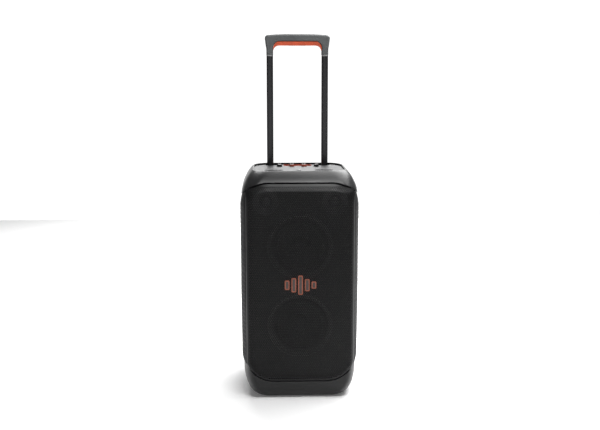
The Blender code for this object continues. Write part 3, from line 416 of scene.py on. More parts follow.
def painted(name, color, roughness, metallic=0.0, **sockets):
    """Powder coat: an orange-peel skin over fine speckle."""
    made = Surface(name, color, roughness, metallic, **sockets)
    made.tint(made.noise(60.0, 4.0), 0.15)
    made.polish(made.noise(25.0, 3.0), 0.05)
    made.bump(made.noise(1100.0, 2.0), 0.00003)
    made.bump(made.noise(300.0, 1.0), 0.00003)
    return made.made


def rubbery(name, color, roughness, **sockets):
    """Rubber: matt, with a fine stipple and a dusty bloom."""
    made = Surface(name, color, roughness, **sockets)
    made.tint(made.noise(30.0, 5.0), 0.2)
    made.polish(made.noise(18.0, 4.0), 0.05)
    made.bump(made.cells(1400.0), 0.00006)
    return made.made


def fibrous(name, color, roughness):
    """Pressed paper pulp, with short fibres every way."""
    made = Surface(name, color, roughness)
    fibres = made.noise(260.0, 6.0, (1, 1, 1), 0.75)
    made.tint(fibres, 0.35)
    made.polish(fibres, 0.06)
    made.bump(fibres, 0.0002)
    return made.made


def circuit(name, color):
    """A circuit board: solder mask with tracks showing through it and pale pads."""
    made = Surface(name, color, 0.35, **{"Coat_Weight": 0.4})
    brick = made.nodes.new("ShaderNodeTexBrick")
    for socket, value in (("Scale", 160.0), ("Mortar Size", 0.06), ("Brick Width", 0.9)):
        brick.inputs[socket].default_value = value
    brick.inputs["Color1"].default_value = (*color, 1)
    brick.inputs["Color2"].default_value = (*[c * 0.6 for c in color], 1)
    brick.inputs["Mortar"].default_value = (*[min(c * 2.6 + 0.02, 1) for c in color], 1)
    made.links.new(made.place, brick.inputs["Vector"])
    made.links.new(brick.outputs["Color"], made.shader.inputs["Base Color"])
    made.polish(made.noise(40.0), 0.06)
    made.bump(brick.outputs["Fac"], 0.0001)
    return made.made


DULL = {"Specular_IOR_Level": 0.28}
CASING = moulded("casing_plastic", (0.016, 0.016, 0.0165), 0.34, 900.0, 0.00004, **DULL)
SIDE = moulded("side_plastic", (0.012, 0.012, 0.0125), 0.52, 700.0, 0.00006, Specular_IOR_Level=0.12)
PANEL = moulded("panel_plastic", (0.030, 0.030, 0.031), 0.44, 1000.0, 0.00003, Specular_IOR_Level=0.24)
GLOSS = moulded("gloss_plastic", (0.010, 0.010, 0.0105), 0.22, 500.0, 0.00001, 0.04, Coat_Weight=0.2)
HORN = moulded("horn_plastic", (0.055, 0.055, 0.058), 0.24, 500.0, 0.00001, 0.04, Coat_Weight=0.3)
BUTTON = moulded("button_plastic", (0.010, 0.010, 0.0105), 0.55, 700.0, 0.00003, Specular_IOR_Level=0.1)
CHROME = drawn_metal("collar_steel", (0.80, 0.80, 0.81), 0.20, (1, 1, 0.05))
ICON = moulded("icon_print", (0.45, 0.45, 0.46), 0.45, 900.0, 0.00002)
GRILLE = painted("grille_paint", (0.009, 0.009, 0.0095), 0.40, Specular_IOR_Level=0.24)
GRIP = moulded("grip_plastic", (0.076, 0.080, 0.081), 0.46, 800.0, 0.00006)
ORANGE = rubbery("orange_rubber", (0.46, 0.066, 0.022), 0.46)
# A darker copy of the orange rubber: painted shade on the grip recess liner, and the own orange of knobs 2
# and 3
KNOB_ORANGE_AND_PAINTED_SHADE = rubbery("knob_orange_and_painted_shade_rubber", (0.26, 0.055, 0.030), 0.55)
COPPER = painted("copper_paint", (0.36, 0.115, 0.070), 0.34, 0.50)
BADGE_GREY = painted("badge_grey", (0.075, 0.060, 0.056), 0.34, 0.3)
KNOB_GREY = moulded("knob_grey", (0.16, 0.145, 0.140), 0.36, 900.0, 0.00003)
RUBBER = rubbery("black_rubber", (0.012, 0.012, 0.012), 0.72)
TYRE = rubbery("tyre_rubber", (0.015, 0.015, 0.015), 0.62)
PAPER = fibrous("cone_paper", (0.012, 0.012, 0.0125), 0.75)
BOARD = circuit("circuit_board", (0.015, 0.085, 0.035))
ANODISED = drawn_metal("anodised_tube", (0.072, 0.072, 0.075), 0.30, (1, 1, 0.02))
STEEL = drawn_metal("bare_steel", (0.40, 0.40, 0.41), 0.34, (1, 0.05, 1), Anisotropic=0.3)
BLACK_STEEL = painted("black_steel", (0.018, 0.018, 0.019), 0.35)
DIFFUSER = moulded("smoked_diffuser", (0.020, 0.020, 0.022), 0.45, 400.0, 0.00002, Coat_Weight=0.2)

BY_SLOT = {
    "casing_plastic": CASING, "side_plastic": SIDE, "panel_plastic": PANEL, "gloss_plastic": GLOSS,
    "grille_paint": GRILLE, "grip_plastic": GRIP, "orange_rubber": ORANGE, "copper_badge": COPPER,
    "black_rubber": RUBBER, "wheel_tread": TYRE, "cone_paper": PAPER, "circuit_board": BOARD,
    "anodised_tube": ANODISED, "bare_steel": STEEL, "black_steel": BLACK_STEEL,
    "light_diffuser": DIFFUSER,
}
for row in frame["record"]["subparts"]:
    carried = NODES[row["node"]].data
    carried.materials.clear()
    carried.materials.append(BY_SLOT[row["material_slot"]])

# ---------------------------------------------------------------- camera, floor and lights
TARGET, DISTANCE, PITCH, TURN = Vector((0.0043, 0.0, 0.4972)), 2.6, 9.0, -2.1


def make_stage():
    camera = bpy.data.objects.new("camera", bpy.data.cameras.new("camera"))
    bpy.context.scene.collection.objects.link(camera)
    up, side = math.radians(PITCH), math.radians(TURN)
    away = Vector((math.sin(side) * math.cos(up), -math.cos(side) * math.cos(up), math.sin(up)))
    camera.location = TARGET + away * DISTANCE
    camera.rotation_euler = (-away).to_track_quat("-Z", "Y").to_euler()
    camera.data.lens, camera.data.sensor_width = 53.8, 36.0
    bpy.context.scene.camera = camera

    floor = box("floor", (-3.4, -3.4, -0.02), (3.4, 3.0, -0.0002))
    pale = Surface("pale_floor", (0.93, 0.93, 0.93), 0.7, **{"Specular_IOR_Level": 0.2})
    pale.tint(pale.noise(2.0), 0.01).polish(pale.noise(3.0), 0.03)
    pale.shader.inputs["Emission Color"].default_value = (1.0, 1.0, 1.0, 1.0)
    pale.shader.inputs["Emission Strength"].default_value = 0.10
    floor.data.materials.append(pale.made)
    bpy.context.scene.view_settings.view_transform = "Standard"
    make_world()
    make_softboxes()


def make_world():
    """A dim studio: bright only behind the object and below its horizon."""
    world = bpy.data.worlds.new("studio")
    bpy.context.scene.world = world
    world.use_nodes = True
    nodes, links = world.node_tree.nodes, world.node_tree.links

    def linked(kind, *sources, **settings):
        made = nodes.new(kind)
        for name, value in settings.items():
            setattr(made, name, value)
        for index, source in enumerate(sources):
            links.new(source, made.inputs[index])
        return made

    def ranged(source, start, end, low=0.0, high=1.0, curve="LINEAR"):
        made = linked("ShaderNodeMapRange", source, interpolation_type=curve)
        for socket, value in zip(("From Min", "From Max", "To Min", "To Max"), (start, end, low, high)):
            made.inputs[socket].default_value = value
        return made.outputs["Result"]

    split = linked("ShaderNodeSeparateXYZ", nodes.new("ShaderNodeTexCoord").outputs["Generated"])
    behind = ranged(split.outputs["Y"], 0.890, 0.935, 0.13, 1.15, "SMOOTHSTEP")
    below = ranged(split.outputs["Z"], 0.0, -0.05)
    front = ranged(split.outputs["Y"], -0.5, -0.95, 0.30, 0.95)
    low = linked("ShaderNodeMath", below, front, operation="MULTIPLY")
    brighter = linked("ShaderNodeMath", behind, low.outputs["Value"], operation="MAXIMUM")
    links.new(brighter.outputs["Value"], nodes["Background"].inputs["Color"])


def make_softboxes():
    softboxes = (
        ("overhead", (1.06, 0.30, 2.3), (0.92, 0.27, 0.0), (1.5, 2.0), 42.0, 150),
        ("key", (0.35, -1.10, 2.30), (0.05, -0.1, 0.5), (0.9, 0.4), 20.0, 150),
        ("back", (0.5, 2.4, 2.3), (0.4, 1.3, 0.0), (3.0, 1.6), 92.0, 130),
    )
    for name, spot, aim, size, watts, spread in softboxes:
        light = bpy.data.lights.new(name, "AREA")
        light.shape, light.energy, light.spread = "RECTANGLE", watts, math.radians(spread)
        light.size, light.size_y = size
        lamp = bpy.data.objects.new(name, light)
        lamp.location = spot
        lamp.rotation_euler = (Vector(aim) - Vector(spot)).to_track_quat("-Z", "Y").to_euler()
        bpy.context.scene.collection.objects.link(lamp)


# ---------------------------------------------------------------- casing
WELL_INNER_X, WELL_ROOM, SKIN, CAP_LIP = 0.0930, 0.0045, 0.0020, 0.0020
FOOT_X, FOOT_Y, FOOT_SIZE, SEAT_SIZE = 0.090, -0.104, (0.0426, 0.0246), (0.0432, 0.0252)
AXLE_PLACE, SLEEVE_RADIUS, AXLE_HOLE = (0.112, 0.040), 0.0475, 0.0056


def dense(low, high, count):
    """Heights from low to high, closer together near both ends."""
    steps = [0.5 - 0.5 * math.cos(math.pi * k / count) for k in range(count + 1)]
    return [low + (high - low) * t for t in steps]


def body_solid(name, low, high, inset=0.0, half_width=cap_half_width, count=40):
    heights = dense(low, high, count)
    return loft(name, [[(x, y, z) for x, y in body_outline(z, inset, half_width)] for z in heights])


def ring_shell(name, low_at, high, thick, round_low, round_high, half_width=cap_half_width):
    """A band of the body's skin from low_at(x) up to high, with both its edges rounded over."""
    turns = [math.pi / 2 * k / 4 for k in range(5)]
    levels = dense(0, 1, 34)
    low_edge = [(0.0, round_low * (1 - math.sin(a)), round_low * (1 - math.cos(a))) for a in reversed(turns)]
    high_edge = [(1.0, -round_high * (1 - math.sin(a)), round_high * (1 - math.cos(a))) for a in turns]
    outside = low_edge + [(t, 0.0, 0.0) for t in levels[1:-1]] + high_edge
    inside = [(t, 0.0, thick) for t in reversed(levels)]
    loops = []
    for t, rise, inset in outside + inside:
        loop = []
        for i, (x, y) in enumerate(body_outline(high, inset, half_width, flat=16)):
            for _ in range(6):  # the edge's height follows from x, which follows from the height
                z = mix(low_at(x), high, t) + rise
                x, y = body_outline(z, inset, half_width, flat=16)[i]
            loop.append((x, y, z))
        loops.append(loop)
    return loft(name, loops, closed=True)


def flared_half_width(z):
    """The top cap stands out a little over the side panels along its lower edge."""
    return cap_half_width(z) + CAP_LIP * fall((z - SEAM_SIDE_Z) / 0.034, 1.5)


def make_top_cap():
    cap = ring_shell("top_cap_shell", seam_z, RIM_Z, 0.0035, 0.0010, 0.0011, flared_half_width)
    place(cap, CASING, "cabinet", "top_cap")


def wheel_well(side, steps=72):
    well = NODES[f"wheel_{'left' if side < 0 else 'right'}_tyre"].name
    low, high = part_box(well)
    centre = ((low[1] + high[1]) / 2, (low[2] + high[2]) / 2)
    ends = sorted((side * WELL_INNER_X, side * 0.2))
    return cylinder("well", (high[2] - low[2]) / 2 + WELL_ROOM, "X", centre, *ends, steps)


def make_bottom_cap():
    cap = body_solid("bottom_cap_shell", FLOOR_GAP, CAP_LOW_Z, count=34)
    cut(cap, body_solid("hollow", FLOOR_GAP + 0.005, 0.120, inset=0.004, count=20))
    for side in (-1, 1):
        ends = sorted((side * (WELL_INNER_X - 0.004), side * 0.2))
        sleeve = cylinder("sleeve", SLEEVE_RADIUS, "X", AXLE_PLACE, *ends, 72)
        combine(sleeve, "INTERSECT", body_solid("inside", FLOOR_GAP + 0.001, 0.0935, 0.001, count=20))
        join(cap, sleeve)
    cut(cap, prism("grille_hole", grille_outline(-2 * GAP), "Y", -0.2, BAFFLE_BACK_Y + GAP))
    for side in (-1, 1):
        cut(cap, wheel_well(side))
        ends = sorted((side * 0.07, side * 0.1))
        cut(cap, cylinder("hole", AXLE_HOLE, "X", AXLE_PLACE, *ends, 32))
        seat = rounded_rectangle((side * FOOT_X, FOOT_Y), SEAT_SIZE, 0.0120)
        cut(cap, prism("seat", seat, "Z", -0.01, FLOOR_GAP + 0.002))
    place(rounded(cap, 0.0014, 3, 50), CASING, "cabinet", "bottom_cap")
    for name, side in SIDES:
        centre = (side * FOOT_X, FOOT_Y)

        def sole(inset):
            return shrunk(centre, FOOT_SIZE, 0.0117, inset)

        pad = pillow(f"foot_pad_{name}", sole, "Z", 0.0, FLOOR_GAP + 0.0017, 0.0018)
        for index in range(7):
            x = side * FOOT_X + (index - 3) * 0.0050
            cut(pad, box("groove", (x - 0.0006, -0.13, -0.001), (x + 0.0006, -0.08, 0.0005)))
        place(pad, RUBBER, "cabinet", f"front_foot_{name}")


def make_cabinet():
    wide = 0.3
    shell = body_solid("cabinet_body", CAP_LOW_Z + 2 * GAP, 0.625, inset=SKIN, count=50)
    below = [(wide, 0.0), *seam_points(wide, -2 * GAP, 160), (-wide, 0.0)]
    combine(shell, "INTERSECT", prism("below", below, "Y", -wide, wide))
    cut(shell, body_solid("hollow", CAP_LOW_Z + 0.006, SHOULDER_Z - 0.004, inset=0.007, count=30))
    cut(shell, body_solid("hollow", SHOULDER_Z + 0.0005, 0.700, inset=0.007, count=30))
    cut(shell, prism("grille_hole", grille_outline(-2 * GAP), "Y", -0.2, BAFFLE_BACK_Y + GAP))
    low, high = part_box("rear_panel")
    rebate = rear_rectangle(low, high, GAP, 0.012)
    hole = rear_rectangle(low, high, -0.0080, 0.012)
    cut(shell, prism("rebate", rebate, "Y", low[1] - GAP, 0.2), prism("hole", hole, "Y", 0.14, 0.2))
    for side in (-1, 1):
        cut(shell, prism("guide_hole", tube_outline(side, 0.0029), "Z", 0.560, 0.580))
        cut(shell, wheel_well(side))
    cut(shell, box("tweeter_room", (-0.140, -0.1300, 0.555), (0.140, -0.1120, 0.580)))
    place(rounded(shell, 0.0005, 2, 50), CASING, "cabinet", "cabinet_shell")


def rear_rectangle(low, high, grow, radius):
    centre = ((low[0] + high[0]) / 2, (low[2] + high[2]) / 2)
    size = (high[0] - low[0] + 2 * grow, high[2] - low[2] + 2 * grow)
    return rounded_rectangle(centre, size, radius)


# ---------------------------------------------------------------- side panels
STUD_PITCH, STUD_LOW, STUD_HIGH = 0.0128, 0.0013, 0.0005
SIDE_FRONT_X, SIDE_BACK_Y, SIDE_THICK = GRILLE_HALF_WIDTH + 2 * GAP, 0.134, 0.0017
SIDE_RIM, COLUMNS, ROWS = 0.0012, 156, 280


def side_path(z, inset, count):
    """The right side panel's line at height z, from its front edge to its back one."""
    outline = np.array(body_outline(z, inset, side_half_width, 40)[:82])
    front = next(i for i in range(len(outline)) if outline[i, 0] > SIDE_FRONT_X - inset)
    back = next(i for i in range(len(outline)) if outline[i, 1] > SIDE_BACK_Y)
    start, end = outline[front - 1 : front + 1], outline[back - 1 : back + 1]
    first = start[0] + (start[1] - start[0]) * (SIDE_FRONT_X - inset - start[0, 0]) / (
        start[1, 0] - start[0, 0]
    )
    last = end[0] + (end[1] - end[0]) * (SIDE_BACK_Y - end[0, 1]) / (end[1, 1] - end[0, 1])
    line = np.vstack([first, outline[front:back], last])
    run = np.concatenate([[0], np.cumsum(np.linalg.norm(np.diff(line, axis=0), axis=1))])
    at = np.linspace(0, run[-1], count)
    return np.stack([np.interp(at, run, line[:, 0]), np.interp(at, run, line[:, 1])], 1), run[-1]


def stud_height(along, z, edge):
    """Grooves between staggered pyramids with flat tops, deeper towards the floor, none at the edges."""
    row = np.floor(z / STUD_PITCH)
    u = np.abs((along / STUD_PITCH + 0.5 * (row % 2)) % 1.0 - 0.5)
    v = np.abs((z / STUD_PITCH) % 1.0 - 0.5)
    slope = np.clip((0.47 - np.maximum(u, v)) / 0.20, 0, 1)
    slope = slope * slope * (3 - 2 * slope)
    height = STUD_LOW + (STUD_HIGH - STUD_LOW) * np.clip((z - 0.10) / 0.40, 0, 1)
    return (slope - 1) * height * np.clip((edge - 0.003) / 0.010, 0, 1)


def between(source, levels, heights):
    """Rows of points known at even levels, read at any heights, column by column."""
    at = (heights - levels[0]) / (levels[1] - levels[0])
    k = np.clip(at.astype(int), 0, len(levels) - 2)
    f = (at - k)[..., None]
    j = np.broadcast_to(np.arange(COLUMNS), heights.shape)
    return source[k, j] * (1 - f) + source[k + 1, j] * f


def side_layers():
    """The right panel's outer grid of (x, y) with its heights, and its inner one with the rows it uses."""
    foot = CAP_LOW_Z + 2 * GAP
    levels = np.linspace(foot, 0.590, 140)
    paths = [side_path(z, 0.0, COLUMNS) for z in levels]
    table = np.array([p for p, _ in paths])
    inner_table = np.array([side_path(z, SIDE_THICK, COLUMNS)[0] for z in levels])
    length = float(np.mean([run for _, run in paths]))
    top_x = table[np.argmin(abs(levels - 0.575))][:, 0]
    top_z = np.array([min(seam_z(x), SEAM_SIDE_Z + 0.02) - 2 * GAP for x in top_x])
    z = foot + (top_z[None, :] - foot) * np.linspace(0, 1, ROWS)[:, None]
    along = np.linspace(0, length, COLUMNS)[None, :] * np.ones_like(z)
    edge = np.minimum(np.minimum(z - foot, top_z[None, :] - z), np.minimum(along, length - along))
    round_in = SIDE_RIM * (1 - np.sqrt(1 - (1 - np.clip(edge / SIDE_RIM, 0, 1)) ** 2))
    lift = stud_height(along, z, edge) - round_in
    outer = between(table, levels, z)
    tangent = np.gradient(outer, axis=1)
    normal = np.stack([tangent[..., 1], -tangent[..., 0]], -1)
    normal /= np.linalg.norm(normal, axis=-1, keepdims=True)
    picked = np.linspace(0, ROWS - 1, 16).round().astype(int)
    return outer + normal * lift[..., None], z, between(inner_table, levels, z[picked]), picked


def make_side_panels():
    outer, z, inner, picked = side_layers()
    for name, side in SIDES:
        bm = bmesh.new()
        grid, back = [
            [[bm.verts.new((side * sheet[k, c, 0], sheet[k, c, 1], z[r, c])) for c in range(COLUMNS)]
             for k, r in enumerate(used)]
            for sheet, used in ((outer, range(ROWS)), (inner, picked))
        ]
        strips = [*zip(grid, grid[1:]), *zip(back, back[1:]), (grid[0], back[0]), (grid[-1], back[-1])]
        for low, high in strips:
            for c in range(COLUMNS - 1):
                bm.faces.new((low[c], low[c + 1], high[c + 1], high[c]))
        for c in (0, COLUMNS - 1):
            for k, (r, s) in enumerate(zip(picked, picked[1:])):
                rim = [grid[i][c] for i in range(r, s + 1)]
                bm.faces.new([back[k][c]] + rim + [back[k + 1][c]])
        place(to_object(f"side_skin_{name}", bm), SIDE, "cabinet", f"side_panel_{name}", angle=50)


# ---------------------------------------------------------------- grille and badge
HOLE_PITCH, HOLE_RADIUS, SHEET, SEAM_SLOT = 0.0054, 0.00200, 0.0012, 0.0026
PILLOW_RADIUS, PILLOW_DEPTH, FOOT_RADIUS, FOOT_DEPTH = 0.0230, 0.0140, 0.0070, 0.0030
HOLE_MARGIN = 0.0070
RIM_INSETS = (0.0, 0.0012, 0.0028, 0.0050)


def edge_distance(points, outline):
    """How far each point lies inside a closed outline."""
    a = np.array(outline)
    b = np.roll(a, -1, axis=0)
    ab = b - a
    best = np.full(len(points), 1.0)
    for start in range(0, len(points), 4000):
        p = points[start : start + 4000, None, :]
        t = np.clip(((p - a) * ab).sum(-1) / (ab * ab).sum(-1), 0, 1)
        best[start : start + 4000] = np.linalg.norm(p - a - t[..., None] * ab, axis=-1).min(1)
    return best


def pillow_y(distance, z):
    """Deeply rounded along its top and sides, and almost flush at its foot."""
    height = np.clip((z - GRILLE_LOW_Z) / 0.075, 0, 1)
    height = height * height * (3 - 2 * height)
    radius = FOOT_RADIUS + (PILLOW_RADIUS - FOOT_RADIUS) * height
    depth = FOOT_DEPTH + (PILLOW_DEPTH - FOOT_DEPTH) * height
    t = 1 - np.clip(distance / radius, 0, 1)
    curve = 1 - np.sqrt(1 - t**2.3)
    slope = np.clip((np.sqrt((t - 0.04) ** 2 + 0.0016) + t - 0.04) / 2, 0, 1)
    crease = np.clip((z - 0.560) / 0.030, 0, 1)
    return FRONT_Y + depth * (curve + (slope - curve) * crease * 0.95)


def hole_centres(outline):
    """The staggered holes of the sheet, clear of its edge."""
    centres = []
    for number, z in enumerate(np.arange(GRILLE_LOW_Z, SEAM_FRONT_Z, HOLE_PITCH * math.sqrt(3) / 2)):
        xs = np.arange(-30, 31) * HOLE_PITCH + (HOLE_PITCH / 2 if number % 2 else 0.0)
        centres += [(x, z) for x in xs if abs(x) < GRILLE_HALF_WIDTH]
    centres = np.array(centres)
    inside = np.array([in_outline(p, outline) for p in centres])
    return centres[inside & (edge_distance(centres, outline) > HOLE_MARGIN)]


def sheet_triangles(flat, rings, count, holes):
    """Triangles over the flat sheet, which leave the six-sided holes open."""
    first = rings * count
    edges = [(start + i, start + (i + 1) % count) for start in range(0, first, count) for i in range(count)]
    edges += [(first + 6 * h + i, first + 6 * h + (i + 1) % 6) for h in range(holes) for i in range(6)]
    solved = delaunay_2d_cdt([Vector(p) for p in flat], edges, [], 0, 1e-7, True)
    source = [ids[0] for ids in solved[3]]
    triangles = [[source[v] for v in face] for face in solved[2]]
    return [t for t in triangles if min(t) < first or len({(i - first) // 6 for i in t}) > 1]


def make_grille():
    rings = [clear_of_repeats(grille_outline(inset, 24, SEAM_SLOT)) for inset in RIM_INSETS]
    count = min(len(ring) for ring in rings)
    rings = [resampled(ring, count) for ring in rings]
    centres = hole_centres(rings[0])
    turns = np.radians(np.arange(6) * 60 + 30)
    corners = np.stack([np.cos(turns), np.sin(turns)], 1) * HOLE_RADIUS
    flat = np.vstack([np.array(ring) for ring in rings] + [(centres[:, None] + corners).reshape(-1, 2)])
    triangles = sheet_triangles(flat, len(rings), count, len(centres))

    distance = edge_distance(flat, rings[0])
    distance[:count] = 0.0
    front = np.column_stack([flat[:, 0], pillow_y(distance, flat[:, 1]), flat[:, 1]])
    behind = front.copy()
    behind[:count, [0, 2]] = flat[count : 2 * count]
    behind[count : 2 * count, [0, 2]] = (flat[count : 2 * count] + flat[2 * count : 3 * count]) / 2
    behind[:, 1] += SHEET
    bm = bmesh.new()
    near = [bm.verts.new(p) for p in front]
    far = [bm.verts.new(p) for p in behind]
    for a, b, c in triangles:
        bm.faces.new((near[a], near[b], near[c]))
        bm.faces.new((far[c], far[b], far[a]))
    for first in range(len(rings) * count, len(flat), 6):
        for i in range(6):
            a, b = first + i, first + (i + 1) % 6
            bm.faces.new((near[a], near[b], far[b], far[a]))
    outer = [bm.verts.new((x, GRILLE_BACK_Y, z)) for x, z in flat[:count]]
    inner = [bm.verts.new((x, GRILLE_BACK_Y, z)) for x, z in flat[count : 2 * count]]
    for low, high in ((near[:count], outer), (outer, inner), (inner, far[:count])):
        for i in range(count):
            bm.faces.new((low[i - 1], low[i], high[i], high[i - 1]))
    place(to_object("grille_sheet", bm), GRILLE, "cabinet", "front_grille")


def resampled(ring, count):
    line = np.array(list(ring) + [ring[0]])
    run = np.concatenate([[0], np.cumsum(np.linalg.norm(np.diff(line, axis=0), axis=1))])
    at = np.linspace(0, run[-1], count + 1)[:-1]
    return list(zip(np.interp(at, run, line[:, 0]), np.interp(at, run, line[:, 1])))


def in_outline(point, outline):
    x, z = point
    inside = False
    for (ax, az), (bx, bz) in zip(outline, outline[1:] + outline[:1]):
        if (az > z) != (bz > z) and x < (bx - ax) * (z - az) / (bz - az) + ax:
            inside = not inside
    return inside


BAR_HEIGHTS, BAR_PITCH, BAR_WIDTH, BADGE_Z = (0.026, 0.040, 0.054, 0.034, 0.020), 0.0185, 0.0130, 0.3267


def make_badge():
    """Five level-meter bars: copper frames round grey faces, on a thin black rail."""
    front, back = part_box("badge")[0][1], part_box("badge")[1][1]
    frames, faces = [], []
    for index, height in enumerate(BAR_HEIGHTS):
        centre = ((index - 2) * BAR_PITCH, BADGE_Z)

        def ring(inset, centre=centre, height=height):
            return shrunk(centre, (BAR_WIDTH, height), 0.0032, inset, 6)

        bar = pillow("bar", ring, "Y", front, back, 0.0005, ends=(True, False))
        inner = rounded_rectangle(centre, (BAR_WIDTH - 0.0050, height - 0.0050), 0.0010, 6)
        frames.append(cut(bar, prism("hole", inner, "Y", front - 0.001, back - 0.0006)))
        face = rounded_rectangle(centre, (BAR_WIDTH - 0.0056, height - 0.0056), 0.0008, 6)
        faces.append(prism("face", face, "Y", front + 0.0007, back - 0.0007))
    place(merged("badge_frames", frames), COPPER, "cabinet", slot="copper_badge")
    place(merged("badge_faces", faces), BADGE_GREY, "cabinet", slot="copper_badge")
    low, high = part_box("badge")
    rail = rounded_rectangle((0.0, BADGE_Z), (high[0] - low[0] - 0.006, 0.0040), 0.0018)
    place(prism("badge_rail", rail, "Y", front + 0.0014, back), GRILLE, "cabinet", "badge")


def merged(name, members):
    """Several separate solids as one piece."""
    bm = bmesh.new()
    for member in members:
        bm.from_mesh(member.data)
        bpy.data.objects.remove(member, do_unlink=True)
    return to_object(name, bm)


# ---------------------------------------------------------------- loudspeakers
BAFFLE_FRONT_Y, WOOFER_Z = -0.138, {"upper": 0.4315, "lower": 0.2080}
TWEETER_X, TWEETER_Z, TWEETER_RADIUS = 0.0955, 0.555, 0.036
CONE_STROKE = 0.0040


def make_woofers():
    front = BAFFLE_FRONT_Y - GAP - 0.004
    for name, z in WOOFER_Z.items():
        centre, lip = (0.0, z), front - GAP
        roll = [(0.0788, lip), (0.0768, lip)]
        roll += arc((0.0700, lip), (0.0060, 0.0062), 0, -180, 14)
        roll += [(0.0618, lip), (0.0618, lip - 0.0010)]
        roll += arc((0.0700, lip - 0.0010), (0.0070, 0.0062), -180, 0, 16)
        roll += [(0.0788, lip - 0.0010)]
        made = lathe(f"surround_roll_{name}", roll, "Y", centre, 96)
        place(made, RUBBER, "cabinet", f"woofer_{name}_surround")

        ribs = [(0.0612 - 0.0192 * t, lip - 0.0010 + t * 0.0163 + 0.0003 * math.sin(t * 28)) for t in
                [k / 28 for k in range(29)]]
        skirt = [(0.0614, lip + 0.0006), (0.0614, lip + 0.0006 + CONE_STROKE)]
        cone = ribs + [(0.0180, -0.1110), (0.0180, -0.0970), (0.0168, -0.0970), (0.0168, -0.1098)]
        cone += [(0.0413, -0.1242)] + list(reversed(skirt))
        cone = lathe(f"cone_body_{name}", cone, "Y", centre, 96)
        place(cone, PAPER, f"cone_{name}", f"woofer_{name}_cone", angle=25)
        dome = [(0.0250 * math.sin(a), -0.1137 - 0.0125 * math.cos(a)) for a in
                [math.pi / 2 * k / 12 for k in range(13)]]
        dome = [(0.0, dome[0][1])] + dome[1:] + [(0.0240, -0.1137), (0.0, -0.1240)]
        cap = lathe(f"dust_cap_{name}", dome, "Y", centre, 72)
        place(cap, PAPER, f"cone_{name}", slot="cone_paper")

        section = arc((0.0883, (front - 0.001 - 0.1383) / 2), (0.0027, 0.0025), 0, 360, 20, 4.0)[:-1]
        ring = lathe(f"light_guide_{name}", section, "Y", centre, 96)
        place(ring, DIFFUSER, "cabinet", f"light_ring_{name}")


def make_tweeters():
    back = BAFFLE_FRONT_Y - GAP
    for name, side in SIDES:
        dome = [(0.0122 * math.sin(a), -0.1305 - 0.0055 * math.cos(a)) for a in
                [math.pi / 2 * k / 10 for k in range(11)]]
        dome[0] = (0.0, dome[0][1])
        flare = [(0.0165 + 0.0165 * t, -0.1330 - 0.0095 * t**0.7) for t in [k / 10 for k in range(11)]]
        horn = [(TWEETER_RADIUS, back), (0.0260, back), (0.0240, -0.1160), (0.0, -0.1160)]
        horn += dome + [(0.0138, -0.1288), (0.0150, -0.1285)] + flare
        horn += [(TWEETER_RADIUS - 0.0006, -0.1425), (TWEETER_RADIUS, -0.1419)]
        made = lathe(f"tweeter_horn_{name}", horn, "Y", (side * TWEETER_X, TWEETER_Z), 72)
        place(made, HORN, "cabinet", f"tweeter_{name}")


# ---------------------------------------------------------------- controls
HANDLE_X, HANDLE_Y, SCOOP_Y = 0.0806, 0.100, 0.0900
KNOB_X, KNOB_Y, KNOB_RADIUS, KNOB_TOP_Z = (-0.054, -0.018, 0.018, 0.054), 0.055, 0.0078, 0.6400
BUTTON_Y, TRAY_X, TRAY_SIZE = -0.046, 0.070, (0.052, 0.020)
BUTTON_OFFSET_X, BUTTON_SIZE, POWER_RADIUS = 0.0115, (0.0200, 0.0130), 0.0075
TUBE_SIZE, TUBE_CORNER = (0.0192, 0.0220), 0.0070
STEM_LOW_Z, BUTTON_TOP_Z = 0.6222, 0.6310


def tube_outline(side, grow, steps=10):
    size = (TUBE_SIZE[0] + 2 * grow, TUBE_SIZE[1] + 2 * grow)
    return rounded_rectangle((side * HANDLE_X, HANDLE_Y), size, TUBE_CORNER + grow, steps)


